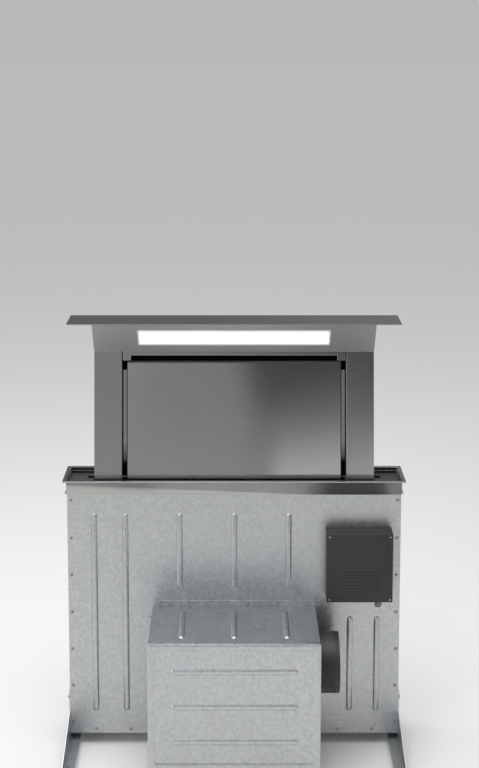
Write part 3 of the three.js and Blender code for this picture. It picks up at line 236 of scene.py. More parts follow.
def painted(name, color, roughness, metallic=0.0, **sockets):
    """Paint, plastic or rubber with a fine skin and broad, faint patches."""
    g = Graph(name, color, metallic, roughness, **sockets)
    fine = g.noise(900, detail=2)
    broad = g.noise(9, detail=3)
    g.feed("Base Color", g.ramp(broad, (0.25, tinted(color, 0.88)), (0.75, tinted(color, 1.1))))
    g.feed("Roughness", g.spread(broad, roughness - ROUGHNESS_SWING, roughness + ROUGHNESS_SWING))
    g.bump(fine, 0.05 * MM, 0.5)
    return g.material


def lit_diffuser(name, strength):
    """Opal diffuser with the light on."""
    g = Graph(name, (0.9, 0.9, 0.88), 0.0, 0.35, Emission_Strength=strength)
    grain = g.noise(40, detail=2)
    g.feed("Emission Color", g.ramp(grain, (0.2, (0.96, 0.98, 1.0)), (0.8, (1.0, 1.0, 1.0))))
    return g.material


LOOKS = {
    "brushed_steel": brushed_steel("brushed_steel"),
    "panel_steel": brushed_steel("panel_steel", tinted(STEEL, 1.02), 0.15),
    "galvanised": galvanised("galvanised", (0.5, 0.515, 0.528)),
    "dark_steel": painted("dark_steel", (0.045, 0.047, 0.05), 0.42, 0.3),
    "machined_steel": brushed_steel("machined_steel", (0.6, 0.6, 0.6), 0.25, (60, 60, 1.5)),
    "aluminium": brushed_steel("aluminium", (0.66, 0.665, 0.67), 0.33),
    "black_plastic": painted("black_plastic", (0.022, 0.022, 0.024), 0.5),
    "nylon": painted("nylon", (0.012, 0.012, 0.012), 0.45),
    "rubber": painted("rubber", (0.012, 0.012, 0.012), 0.8),
    "grey_plastic": painted("grey_plastic", (0.2, 0.205, 0.21), 0.5),
    "diffuser": lit_diffuser("diffuser", 1.15),
    "led_board": painted("led_board", (0.75, 0.76, 0.72), 0.5),
}
# painted highlight: a bright tone on rounded edges where light glints
EDGE_HIGHLIGHT = brushed_steel("edge_highlight", (0.8, 0.795, 0.78), 0.24, contrast=0.03)
FRAME_STEEL = brushed_steel("frame_steel", (0.36, 0.3585, 0.352), 0.24)
# painted light: a bright tone that lifts the shade on walls in narrow gaps
PAINTED_LIGHT_WALL = brushed_steel("painted_light_wall", (0.85, 0.845, 0.83), 0.5, metallic=0.3)
# painted shade: near-black walls inside the tray
FRAME_WALL_SHADE = brushed_steel("frame_wall_shade", (0.05, 0.05, 0.049), 0.35)
# painted highlight on the frame's rounded rim edges and the ledge's top
FRAME_HIGHLIGHT = brushed_steel("frame_highlight", (0.55, 0.548, 0.54), 0.24, contrast=0.03)
# painted shade: a dark tone on the tray's floor
TRAY_SHADE = brushed_steel("tray_shade", (0.062, 0.062, 0.061), 0.45, metallic=0.35)
SKIRT_STEEL = brushed_steel("skirt_steel", STEEL, 0.36)
# painted shadow: a dark line along the panel's upright edges and the strips' hems beside them
PANEL_SHADE_LINE = brushed_steel("panel_shade_line", (0.03, 0.03, 0.029), 0.3)
# painted reflection: the panel's top bevel darkened as if it mirrored the head's dark underside
BEVEL_SHADE = brushed_steel("bevel_shade", (0.2, 0.199, 0.194), 0.3)
LID_STEEL = brushed_steel("lid_steel", (0.42, 0.418, 0.412), 0.16)
# painted shade: the lid's rounded edges darkened, which damps their highlight
LID_EDGE_SHADE = brushed_steel("lid_edge_shade", (0.035, 0.035, 0.034), 0.24)
HEAD_STEEL = brushed_steel("head_steel", (0.35, 0.348, 0.342), 0.38, metallic=0.75)
# painted light: the bezel made bright as if lit by the LED's spill
BEZEL_PAINTED_GLOW = brushed_steel("bezel_painted_glow", (0.9, 0.9, 0.89), 0.5, metallic=0.4)
OPAL_BORDER = lit_diffuser("opal_border", 0.1)
# painted shade: near black with little sheen, for the tower's inside, the strips' foot ledges and the guide
# blocks
SHADE_BLACK = painted("painted_shade_black", (0.003, 0.003, 0.0032), 0.85, Specular_IOR_Level=0.12)
ZINC = LOOKS["galvanised"]
SCREW_STEEL = brushed_steel("screw_steel", (0.33, 0.33, 0.325), 0.3, (20, 20, 20))
FILTER_WEAVE = brushed_steel("filter_weave", (0.5, 0.505, 0.51), 0.4, (90, 1.5, 90))


# ---------------------------------------------------------------- making pieces

SAME_CORNER = 1e-6             # a mesh's corners that were stored twice
JOINED = 0.01 * MM             # corners of a rounded mesh nearer than this are one corner
FLAT = math.radians(0.5)       # faces that meet at less are one face
SHARP = 35                     # degrees from which an edge is rounded and drawn sharp
ORDER = Vector((1, 0.618, 0.414))  # a way along which no two parts of a mesh lie level


def clean_copy(node):
    """The node's mesh with its shared corners joined and its flat faces whole."""
    bm = bmesh.new()
    bm.from_mesh(frame["nodes"][node].data)
    bmesh.ops.remove_doubles(bm, verts=bm.verts, dist=SAME_CORNER)
    bmesh.ops.dissolve_limit(bm, angle_limit=FLAT, verts=bm.verts, edges=bm.edges)
    return bm


def put_in_order(bm):
    """Sorts a mesh's parts by place, because rounding leaves them in an order that changes each run."""
    bm.verts.sort(key=lambda v: v.co.dot(ORDER))
    bm.edges.sort(key=lambda e: (e.verts[0].co + e.verts[1].co).dot(ORDER))
    bm.faces.sort(key=lambda f: f.calc_center_median().dot(ORDER))


def settle(name, bm, looks, body, smooth=SHARP):
    """Makes a shown piece of a mesh."""
    mesh = bpy.data.meshes.new(name)
    bm.to_mesh(mesh)
    bm.free()
    for look in looks:
        mesh.materials.append(look)
    for polygon in mesh.polygons:
        polygon.use_smooth = True
    mesh.set_sharp_from_angle(angle=math.radians(smooth))
    piece = bpy.data.objects.new(name, mesh)
    bpy.context.collection.objects.link(piece)
    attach(piece, body)
    return piece


def details(name, node, looks, draw, smooth=SHARP):
    """A piece of details that rides with a node and hides none."""
    bm = bmesh.new()
    draw(bm)
    return settle(name, bm, looks, BODY_OF[node], smooth)


def redraw(node, looks, draw, smooth=SHARP):
    """Replaces a CAD node by a shape drawn afresh."""
    piece = details(f"{node}_finish", node, looks, draw, smooth=smooth)
    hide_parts(node)


def dress(node, edge, look=None, edge_look=None, others=(), rims=(), cuts=()):
    """Replaces a CAD node by its own shape with edges rounded by some millimetres.

    others are pairs of a test on a face's middle and normal, and the look of the faces that pass it.
    rims are pairs of a test on an edge's middle and the edge, and how many millimetres it is rounded by.
    cuts are the x at which faces are split, so that the tests can tell their parts.
    """
    bm = clean_copy(node)
    for x in cuts:
        geometry = [*bm.verts, *bm.edges, *bm.faces]
        bmesh.ops.bisect_plane(bm, geom=geometry, plane_co=(x, 0, 0), plane_no=(1, 0, 0))
    for face in bm.faces:
        face.material_index = 0
        face.normal_update()
        center = face.calc_center_median()
        for index, (test, _) in enumerate(others):
            if test(center, face.normal):
                face.material_index = 2 + index
    for test, width in rims:
        edges = [e for e in bm.edges if test((e.verts[0].co + e.verts[1].co) / 2, e)]
        bmesh.ops.bevel(
            bm, geom=edges, offset=width * MM, offset_type="OFFSET", segments=3, profile=0.5,
            affect="EDGES", clamp_overlap=False, material=1,
        )
        bmesh.ops.remove_doubles(bm, verts=bm.verts, dist=JOINED)
        put_in_order(bm)
    look = look or LOOKS[SLOT_OF[node]]
    looks = [look, edge_look or look, *(other for _, other in others)]
    piece = settle(f"{node}_finish", bm, looks, BODY_OF[node])
    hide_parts(node)
    if edge:
        bevel = piece.modifiers.new("edges", "BEVEL")
        bevel.width = edge * MM
        bevel.segments = 2
        bevel.limit_method = "ANGLE"
        bevel.angle_limit = math.radians(SHARP)
        bevel.material = 1 if edge_look else -1
        weld = piece.modifiers.new("joined corners", "WELD")
        weld.merge_threshold = JOINED


# ---------------------------------------------------------------- tests that tell faces and edges

NEAR = 0.5 * MM                # slack for a face's place
LEVEL = 0.01 * MM              # slack for an edge's height
FACING = 0.9                   # a normal's least share along the way that a face looks
UPRIGHT = 0.5                  # a normal's z on an upright face is less than this
CORNER = 0.6                   # radians from which an edge is a corner
TOWER_SHEET = 1.7 * MM
SHADED_FROM, SHADED_TO = 274.5 * MM, 278.7 * MM
PANEL_BEVEL = 12 * MM          # the bevel's middle is this near the panel's top, or nearer
PANEL_BEVEL_SLOPE = 0.4        # a normal's least z on it
PANEL_TALL = 100 * MM          # the panel's upright edges rise by more than this
PANEL_SIDE_X = 270 * MM
PANEL_PIN_X = 276.7 * MM
PANEL_SKIN = 0.8 * MM
LEDGE = 4 * MM
RIM = 11 * MM
RIM_THICKNESS = 3 * MM
RIM_WALL_DEPTH = 2.5 * MM
STEP_Z = FRAME_HIGH.z - 8 * MM


def looks_into_tower(center, normal):
    return TOWER_LOW.x + TOWER_SHEET < center.x < TOWER_HIGH.x - TOWER_SHEET and normal.y < -FACING


def on_panel_bevel(center, normal):
    return center.z > PANEL_HIGH.z - PANEL_BEVEL and normal.z > PANEL_BEVEL_SLOPE


def on_panel_side(center, edge):
    """The panel's upright front edges."""
    risen = (center.z - PANEL_LOW.z) / (PANEL_HIGH.z - PANEL_LOW.z)
    front = center.y < PANEL_LOW.y + (PANEL_HIGH.y - PANEL_LOW.y) * risen + PANEL_SKIN
    tall = abs(edge.verts[0].co.z - edge.verts[1].co.z) > PANEL_TALL
    return tall and abs(center.x) > PANEL_SIDE_X and front


def on_panel_pin(center, normal):
    return abs(center.x) > PANEL_PIN_X


def beside_panel(center, normal):
    """The hem of a slot's strip that lies in the panel's shade."""
    return SHADED_FROM < abs(center.x) < SHADED_TO and normal.y < -FACING


def on_ledge(center, normal):
    """The ledge at a strip's foot."""
    return center.z < STRIP_FOOT_Z + LEDGE


def faces_slot(center, normal):
    """A column's side towards the slot."""
    return abs(normal.x) > FACING and abs(center.x) < COLUMN_INNER + NEAR


def within_rim(x, y, slack):
    return abs(x) < FRAME_HIGH.x - RIM + slack and abs(y - FRAME_MID_Y) < FRAME_HALF_Y - RIM + slack


def in_frame(center, normal):
    """The tray's wall, apart from what faces the tower's foot above the ledge."""
    inside = within_rim(center.x + normal.x * MM, center.y + normal.y * MM, NEAR)
    upper_front = normal.y > FACING and center.z > STEP_Z
    return inside and abs(normal.z) < UPRIGHT and not upper_front


def on_front_wall(center, normal):
    """The wall's upper part that faces the tower's foot."""
    inside = FRAME_LOW.y + RIM - NEAR < center.y < FRAME_LOW.y + RIM + RIM_WALL_DEPTH
    return inside and normal.y > FACING and center.z > STEP_Z - NEAR


def on_skirt(center, normal):
    """The collar under the rim, seen from outside."""
    return abs(normal.z) < UPRIGHT and not in_frame(center, normal) and not on_front_wall(center, normal)


def on_tray_floor(center, normal):
    return normal.z > FACING and center.z < FRAME_HIGH.z - RIM_THICKNESS


def on_step_top(center, normal):
    """The top of the ledge that runs round the tray's wall."""
    return normal.z > FACING and abs(center.z - STEP_Z) < NEAR


def at_height(edge, z):
    return all(abs(v.co.z - z) < LEVEL for v in edge.verts)


def on_step_edge(center, edge):
    return at_height(edge, STEP_Z) and edge.calc_face_angle_signed(0) > CORNER


def on_rim_corner(edge):
    return at_height(edge, FRAME_HIGH.z) and edge.calc_face_angle(0) > CORNER


def on_rim_outside(center, edge):
    return on_rim_corner(edge) and not within_rim(center.x, center.y, MM)


def on_rim_inside(center, edge):
    return on_rim_corner(edge) and within_rim(center.x, center.y, MM)


# ---------------------------------------------------------------- CAD pieces with softened edges

# painted shade on the lid's rounded edges
dress("lid", 0.5, LID_STEEL, LID_EDGE_SHADE)
# painted highlight on the head's rounded edges
dress("head_shell", 0.5, HEAD_STEEL, EDGE_HIGHLIGHT)
for side, sign in SIDES:
    # painted highlight on the column's rounded edges, painted light on its side towards the slot
    dress(f"column_{side}", 0.3, edge_look=EDGE_HIGHLIGHT, others=[(faces_slot, PAINTED_LIGHT_WALL)])
    strip_low, strip_high = box(f"slot_strip_{side}")
    # the strip's look, with painted shade towards its foot
    look = shaded_slot_steel(f"shaded_slot_steel_{side}", strip_low.z, strip_high.z)
    # painted shade: the ledge at the strip's foot near black, and a painted shadow line on the hem beside the
    # panel
    dress(
        f"slot_strip_{side}", 0.3, look, others=[(on_ledge, SHADE_BLACK), (beside_panel, PANEL_SHADE_LINE)],
        cuts=(sign * SHADED_FROM, sign * SHADED_TO),
    )
    dress(f"grease_filter_{side}", 0.8)
# painted highlight on the rail's rounded edges
dress("top_rail", 0.4, edge_look=EDGE_HIGHLIGHT)
# painted shadow on the panel's upright edges, painted reflection on its top bevel
dress(
    "front_panel", 0, edge_look=PANEL_SHADE_LINE,
    others=[(on_panel_bevel, BEVEL_SHADE), (on_panel_pin, LOOKS["dark_steel"])], rims=[(on_panel_side, 0.9)],
)
# painted shade: the tower's inner faces near black
dress("tower_rear", 0.3, others=[(looks_into_tower, SHADE_BLACK)])
# painted shade on the tray's walls and floor, painted light on the front wall's upper part, painted
# highlights on the rim's rounded edges and the ledge's top
dress(
    "worktop_frame", 0, FRAME_STEEL, FRAME_HIGHLIGHT,
    [
        (in_frame, FRAME_WALL_SHADE), (on_skirt, SKIRT_STEEL), (on_front_wall, PAINTED_LIGHT_WALL),
        (on_tray_floor, TRAY_SHADE), (on_step_top, FRAME_HIGHLIGHT),
    ],
    [(on_rim_outside, 0.8), (on_rim_inside, 0.4), (on_step_edge, 0.7)],
)
for width, nodes in (
    (0.4, ("housing_front", "housing_rear", "housing_left", "housing_right", "housing_floor", "blower_box")),
    (0.6, both("clamp_bracket", "support_leg")),
    (0, ("fan_scroll", "scroll_inlet_plate", "crossmember", "outlet_collar", "impeller")),
    (0.8, ("electronics_box", "lift_gearmotor", "fan_motor", "limit_switch_upper", "limit_switch_lower")),
    (0.3, ("flap_front", "flap_rear")),
    (0.5, both("screw_bearing_upper", "screw_bearing_lower", "drive_nut", "slider", "guide_rail")),
):
    for node in nodes:
        dress(node, width)
# painted shade: the guide blocks' black plastic drawn in the near-black shade look
for node in both("guide_block"):
    dress(node, 0.5, SHADE_BLACK)


# ---------------------------------------------------------------- lofted details, in millimetres

SCREW = (4.2, 2.3)             # a head's radius and height
SMALL_SCREW = (3.0, 1.6)
COLLAR_SCREW = (2.8, 1.5)
LOW_SCREW = (2.8, 1.2)
SUNK = -0.3                    # where a head's foot lies, in the sheet


def toothed(radii, steps):
    """A round outline whose corners take the radii in turn."""
    points = []
    for i in range(steps):
        a, radius = 2 * math.pi * i / steps, radii[i % len(radii)]
        points.append((radius * math.cos(a), radius * math.sin(a)))
    return points


def circle(radius, steps=12):
    return toothed((radius,), steps)


def hexagon(radius):
    """Its corners and the middles of its sides."""
    corners = circle(radius, 6)
    points = []
    for a, b in zip(corners, corners[1:] + corners[:1]):
        points += [a, ((a[0] + b[0]) / 2, (a[1] + b[1]) / 2)]
    return points


def rounded(width, height, radius, steps=4):
    points = []
    for x, y, start in ((1, 1, 0), (-1, 1, 90), (-1, -1, 180), (1, -1, 270)):
        for i in range(steps + 1):
            a = math.radians(start + 90 * i / steps)
            points.append((
                x * (width / 2 - radius) + radius * math.cos(a),
                y * (height / 2 - radius) + radius * math.sin(a),
            ))
    return points


def plate_rings(width, height, *rings):
    """Outlines of a plate from their insets, corner radii and heights."""
    return [(rounded(width - 2 * inset, height - 2 * inset, radius), h) for inset, radius, h in rings]


def on(at, normal, along=(0, 0, 1)):
    """Millimetres from a point: x and y over a face, z out of it. along is the way y runs."""
    n = Vector(normal).normalized()
    v = Vector(along)
    u = v.cross(n).normalized()
    turn = Matrix((u, n.cross(u), n)).transposed().to_4x4()
    return Matrix.Translation(at) @ turn @ Matrix.Diagonal((MM, MM, MM, 1))


def loft(bm, place, rings, look=0, hollow=False):
    """Skins outlines at their heights over a place, and closes both ends, or joins them when hollow."""
    rows = [[bm.verts.new(place @ Vector((x, y, height))) for x, y in outline] for outline, height in rings]
    faces = []
    if not hollow:
        faces = [bm.faces.new(rows[0][::-1]), bm.faces.new(rows[-1])]
    for low, high in zip(rows, rows[1:] + rows[:1] if hollow else rows[1:]):
        for i in range(len(low)):
            j = (i + 1) % len(low)
            faces.append(bm.faces.new((low[i], low[j], high[j], high[i])))
    for face in faces:
        face.material_index = look


def screw(bm, place, size=SCREW):
    """Pan head with a hexagon socket."""
    radius, height = size
    head = [(radius, SUNK), (radius, height * 0.35), (radius * 0.86, height * 0.8), (radius * 0.62, height)]
    socket = hexagon(radius * 0.42)
    loft(bm, place, [(circle(r), h) for r, h in head] + [(socket, height), (socket, height * 0.35)])


def bolt(bm, place, height=4.2):
    """Hexagon head on a washer."""
    radius, washer = 5.0, 6.25
    loft(bm, place, [
        (circle(washer), SUNK), (circle(washer), 0.7), (circle(washer * 0.95), 0.9),
        (hexagon(radius), 0.9), (hexagon(radius), height * 0.82), (circle(radius * 0.8), height),
    ])


def bead(bm, place, length, width=16.0, height=3.2):
    """An embossed rib with round ends, along the place's y."""
    steps = (
        (0, -0.4), (0.3, height * 0.1), (0.13 * width, height * 0.5), (0.22 * width, height * 0.86),
        (0.31 * width, height),
    )
    rings = []
    for inset, h in steps:
        w = width - 2 * inset
        rings.append((rounded(w, length - 2 * inset, w / 2 - 0.01, 5), h))
    loft(bm, place, rings)


def steps_between(start, end, count):
    return [start + (end - start) * i / (count - 1) for i in range(count)]


# ---------------------------------------------------------------- light

def light_place():
    """The middle of the diffuser's face: x along it, y up the fascia, z out."""
    bm = clean_copy("led_diffuser")
    bm.normal_update()
    face = max((f for f in bm.faces if f.normal.y < -0.3), key=lambda f: f.calc_area())
    size = sorted((e.calc_length() / MM for e in face.edges), reverse=True)
    place = on(face.calc_center_median(), face.normal)
    bm.free()
    return place, size[0], size[-1]


LIGHT, LIGHT_LENGTH, LIGHT_HEIGHT = light_place()
OPAL_BORDERS = 4.6             # above and below the bright field, taken together
FIELD_DROP = 0.4


def grown(margin, radius=1.5):
    return rounded(LIGHT_LENGTH + 2 * margin, LIGHT_HEIGHT + 2 * margin, radius)


def diffuser(bm):
    """Opal cover: a bright field with a dimmer frosted border above and below."""
    loft(bm, LIGHT, [(grown(0.4), -2.8), (grown(0.4), -0.3), (grown(0.1), 0)], 1)
    field = rounded(LIGHT_LENGTH + 0.6, LIGHT_HEIGHT - OPAL_BORDERS, 2)
    loft(bm, LIGHT @ Matrix.Translation((0, -FIELD_DROP, 0)), [(field, -0.2), (field, 0.25)])


def bezel(bm):
    """Thin ring with a flange over the fascia and a sleeve through it."""
    sleeve = -7.8
    loft(bm, LIGHT, [
        (grown(2.2), sleeve), (grown(2.2), -0.15), (grown(4.8, 3), -0.15), (grown(4.8, 3), 0.35),
        (grown(4.0, 2.6), 0.8), (grown(2.6, 2), 1.0), (grown(1.3), 0.7), (grown(0.8), 0.2),
        (grown(0.8), sleeve),
    ], hollow=True)


redraw("led_diffuser", [LOOKS["diffuser"], OPAL_BORDER], diffuser)
# painted light: the bezel bright as if lit by the LED
redraw("led_bezel", [BEZEL_PAINTED_GLOW], bezel)


# ---------------------------------------------------------------- housing's sheets

def housing_beads(bm):
    """Upright beads, clear of the blower's box and of the electronics box."""
    foot, head = HOUSING_LOW.z + 60 * MM, HOUSING_HIGH.z - 70 * MM
    over_blower, under_box = BLOWER_HIGH.z + 50 * MM, ELECTRONICS_FOOT_Z - 60 * MM
    side_foot, side_head = HOUSING_LOW.z + 150 * MM, HOUSING_HIGH.z - 140 * MM
    rows = [
        (FRONT, HOUSING_LOW.y, (-0.36, -0.28), foot, head),
        (FRONT, HOUSING_LOW.y, (-0.14, 0, 0.14), over_blower, head),
        (FRONT, HOUSING_LOW.y, (0.3, 0.37), foot, under_box),
        (BACK, REAR_Y, (-0.34, -0.17, 0, 0.17, 0.34), foot, head),
    ]
    for _, side in SIDES:
        rows.append((outwards(side), HOUSING_MID_Y, (side * HOUSING_HIGH.x,), side_foot, side_head))
    for normal, y, places, bottom, top in rows:
        for x in places:
            bead(bm, on((x, y, (bottom + top) / 2), normal), (top - bottom) / MM)


def housing_screws(bm):
    """Screws along the upright edges and along the floor sheet."""
    for z in steps_between(HOUSING_LOW.z + 30 * MM, HOUSING_HIGH.z - 35 * MM, 7):
        for _, side in SIDES:
            x = side * (HOUSING_HIGH.x - 9 * MM)
            screw(bm, on((x, HOUSING_LOW.y, z), FRONT))
            screw(bm, on((x, REAR_Y, z), BACK))
    floor_z = HOUSING_LOW.z + 10 * MM
    for x in steps_between(-0.36, 0.36, 7):
        screw(bm, on((x, REAR_Y, floor_z), BACK))
    for x in (-0.36, -0.27, 0.27, 0.36):
        screw(bm, on((x, HOUSING_LOW.y, floor_z), FRONT))


def side_bolts(bm):
    """Bolts through the legs' plates and the clamps' plates."""
    for word, side in SIDES:
        low, high = box(f"support_leg_{word}")
        x = side * max(abs(low.x), abs(high.x))
        for y in (HOUSING_MID_Y - 28 * MM, HOUSING_MID_Y + 28 * MM):
            for z in (low.z + 45 * MM, low.z + 100 * MM):
                bolt(bm, on((x, y, z), outwards(side)))
        low, high = box(f"clamp_bracket_{word}")
        x = side * (min(abs(low.x), abs(high.x)) + 2 * MM)
        for z in (low.z + 14 * MM, low.z + 42 * MM):
            bolt(bm, on((x, (low.y + high.y) / 2, z), outwards(side)), 4.0)


details("housing_beads", "housing_front", [ZINC], housing_beads)
details("housing_screws", "housing_front", [SCREW_STEEL], housing_screws)
details("side_bolts", "support_leg_left", [SCREW_STEEL], side_bolts)


# ---------------------------------------------------------------- blower's box

FLANGE = 13                    # width of the flange that holds the box to the housing
BOX_BEAD = 170
COVER_SUNK = 2.5               # how far the cover's middle lies under its lip


def cover_shape(bm):
    """Cover with a lip all round and a sunk middle, with three beads pressed in it."""
    width, height = (COVER_HIGH.x - COVER_LOW.x) / MM, (COVER_HIGH.z - COVER_LOW.z) / MM
    lip = (COVER_HIGH.y - COVER_LOW.y) / MM
    place = on((0, COVER_HIGH.y, (COVER_LOW.z + COVER_HIGH.z) / 2), FRONT)
    loft(bm, place, plate_rings(
        width, height, (23, 5, lip - 4), (17.5, 7, lip - 4), (15.5, 8, lip - 1.6), (1.5, 1.5, lip - 1.6),
        (1.5, 1.5, 0), (0, 3, 0), (0, 3, lip - 1.6), (0.5, 2.7, lip - 0.5), (1.7, 2.2, lip),
        (14, 9, lip), (15, 8.4, lip - 0.4), (17.5, 7, lip - 2.1), (19, 6, lip - COVER_SUNK),
    ))
    middle = place @ Matrix.Translation((0, 0, lip - COVER_SUNK)) @ Matrix.Rotation(math.pi / 2, 4, "Z")
    for offset in (-90, 0, 90):
        bead(bm, middle @ Matrix.Translation((offset, 0, 0)), width - 110, 16, 2.3)


def cover_screws(bm):
    y = (COVER_LOW.y + COVER_HIGH.y) / 2 + MM
    for z, normal in ((COVER_HIGH.z, UP), (COVER_LOW.z, DOWN)):
        for x in steps_between(-0.18, 0.18, 5):
            screw(bm, on((x, y, z), normal, BACK), SMALL_SCREW)


def blower_dressing(bm):
    """Flange against the housing, and beads on the box's top and left."""
    middle_z = (BLOWER_HIGH.z + BLOWER_LOW.z) / 2
    wide, tall = (BLOWER_HIGH.x - BLOWER_LOW.x) / MM, (BLOWER_HIGH.z - BLOWER_LOW.z) / MM
    half = FLANGE / 2 * MM
    for x, z, w, h in (
        (0, BLOWER_HIGH.z + half, wide + 2 * FLANGE, FLANGE), (BLOWER_LOW.x - half, middle_z, FLANGE, tall),
        (BLOWER_HIGH.x + half, middle_z, FLANGE, tall),
    ):
        rings = plate_rings(w, h, (0, 2, 0), (0, 2, 1.0), (0.25, 1.8, 1.2))
        loft(bm, on((x, BLOWER_HIGH.y, z), FRONT), rings)
    middle_y = (BLOWER_LOW.y + BLOWER_HIGH.y) / 2
    for x in (-0.13, 0, 0.13):
        bead(bm, on((x, middle_y, BLOWER_HIGH.z), UP, BACK), BOX_BEAD)
    for z in (middle_z - 90 * MM, middle_z, middle_z + 90 * MM):
        bead(bm, on((BLOWER_LOW.x, middle_y, z), outwards(-1), BACK), BOX_BEAD)


def blower_screws(bm):
    """Screws in the flange, and six round the outlet collar."""
    y, out = BLOWER_HIGH.y - 1.2 * MM, 7.5 * MM
    for x in steps_between(-0.19, 0.19, 6):
        screw(bm, on((x, y, BLOWER_HIGH.z + out), FRONT), SMALL_SCREW)
    for z in steps_between(BLOWER_LOW.z + 30 * MM, BLOWER_HIGH.z - 30 * MM, 4):
        for x in (BLOWER_LOW.x - out, BLOWER_HIGH.x + out):
            screw(bm, on((x, y, z), FRONT), SMALL_SCREW)
    low, high = box("outlet_collar")
    center_y, center_z, radius = (low.y + high.y) / 2, (low.z + high.z) / 2, 83.5 * MM
    for i in range(6):
        a = math.radians(30 + 60 * i)
        at = (low.x + 1.5 * MM, center_y + radius * math.cos(a), center_z + radius * math.sin(a))
        screw(bm, on(at, outwards(1)), COLLAR_SCREW)


redraw("blower_cover", [ZINC], cover_shape)
details("blower_dressing", "blower_box", [ZINC], blower_dressing)
details("cover_screws", "blower_cover", [SCREW_STEEL], cover_screws)
details("blower_screws", "blower_box", [SCREW_STEEL], blower_screws)


# ---------------------------------------------------------------- electronics box

LOUVRE_COUNT, LOUVRE_STEP, LOUVRE_LENGTH = 7, 9, 96
LOUVRE_LOW = -58               # the lowest one, under the cover's middle


def electronics_cover(bm):
    """Cover with a raised middle and louvres in its lower half."""
    low, high = box("electronics_cover")
    width, height = (high.x - low.x) / MM, (high.z - low.z) / MM
    place = on(((low.x + high.x) / 2, high.y, (low.z + high.z) / 2), FRONT)
    loft(bm, place, plate_rings(
        width, height, (0.3, 2, 0), (0, 2.5, 0.3), (0, 2.5, 1.2), (0.5, 2.2, 1.8), (1.4, 2, 2.0),
    ))
    face = place @ Matrix.Translation((0, 0, 2))
    loft(bm, face, plate_rings(
        width, height, (14, 5, -0.2), (14, 5, 0.9), (15.2, 4.4, 1.6), (17, 3.6, 1.8),
    ))
    louvre = face @ Matrix.Rotation(math.pi / 2, 4, "Z")
    for i in range(LOUVRE_COUNT):
        bead(bm, louvre @ Matrix.Translation((LOUVRE_LOW + LOUVRE_STEP * i, 0, 1.7)), LOUVRE_LENGTH, 5.0, 1.8)


def electronics_screws(bm):
    low, high = box("electronics_cover")
    inset = 7 * MM
    for x in (low.x + inset, high.x - inset):
        for z in (low.z + inset, high.z - inset):
            screw(bm, on((x, low.y, z), FRONT), SMALL_SCREW)


def gland(bm):
    """Cable gland: a hexagon, and a ribbed dome nut with a deep mouth."""
    low, high = box("cable_gland")
    place = on(((low.x + high.x) / 2, (low.y + high.y) / 2, high.z), DOWN, BACK)
    steps, radius, groove = 24, 9.2, 0.93
    ribbed = toothed((radius * groove, radius), steps)
    smaller = [(0.78 * x, 0.78 * y) for x, y in ribbed]
    loft(bm, place, [(hexagon(9.9), 0), (hexagon(9.9), 7.6), (circle(9.0), 8.4)])
    loft(bm, place, [
        (circle(8.2, steps), 8.2), (ribbed, 8.8), (ribbed, 17.2), (smaller, 21.6), (circle(4.6, steps), 21.9),
        (circle(4.2, steps), 18),
    ])


redraw("electronics_cover", [LOOKS["black_plastic"]], electronics_cover)
details("electronics_screws", "electronics_cover", [SCREW_STEEL], electronics_screws)
redraw("cable_gland", [LOOKS["grey_plastic"]], gland)


# ---------------------------------------------------------------- feet

FOOT_PAD = (                   # radii and heights
    (16, 0), (17.6, 0.8), (18, 2), (17.4, 2.6), (17.4, 3.4), (17.8, 4), (16.6, 5.2), (11, 7.4), (6.5, 8.2),
)
FOOT_NUT = ((6.2, 10.9), (7.4, 11.6), (7.4, 15.3), (6.2, 16))
FOOT_THREAD = (3.5, 4.0)       # radius in the groove and on the crest
FOOT_THREAD_LOW, FOOT_THREAD_STEP, FOOT_THREAD_RINGS = 8, 0.5, 36


def foot(node):
    """Rubber pad, threaded rod and lock nut."""
    def draw(bm):
        low, high = box(node)
        place = on(((low.x + high.x) / 2, (low.y + high.y) / 2, low.z), UP, BACK)
        thread = [
            (circle(FOOT_THREAD[i % 2], 20), FOOT_THREAD_LOW + FOOT_THREAD_STEP * i)
            for i in range(FOOT_THREAD_RINGS)
        ]
        loft(bm, place, [(circle(r, 36), h) for r, h in FOOT_PAD])
        loft(bm, place, thread, 1)
        loft(bm, place, [(hexagon(r), h) for r, h in FOOT_NUT], 1)

    redraw(node, [LOOKS["rubber"], SCREW_STEEL], draw)


for side, _ in SIDES:
    for end in ("front", "rear"):
        foot(f"foot_{end}_{side}")


# ---------------------------------------------------------------- tower's small parts

def filter_weave(side, sign):
    """The pleated sheet between a filter's bars."""
    low, high = box(f"grease_filter_{side}")
    rise = high.z - low.z
    lean = (high.y - low.y - 12 * MM) / rise
    inner, outer = sorted((abs(low.x), abs(high.x)))
    inset, setback, fold, margin = 8 * MM, 8.5 * MM, 1.1 * MM, 0.05
    columns, rows, pleat = 180, 10, 4
    bm = bmesh.new()
    grid = []
    for j in range(rows + 1):
        z = low.z + rise * (margin + (1 - 2 * margin) * j / rows)
        row = []
        for i in range(columns + 1):
            x = sign * (inner + inset + (outer - inner - 2 * inset) * i / columns)
            depth = setback + lean * (z - low.z) + fold * math.sin(2 * math.pi * i / pleat)
            row.append(bm.verts.new((x, low.y + depth, z)))
        grid.append(row)
    for a, b in zip(grid, grid[1:]):
        for i in range(columns):
            bm.faces.new((a[i], a[i + 1], b[i + 1], b[i]))
    piece = settle(f"filter_weave_{side}", bm, [FILTER_WEAVE], "tower", smooth=60)
    sheet = piece.modifiers.new("sheet", "SOLIDIFY")
    sheet.thickness = 0.4 * MM


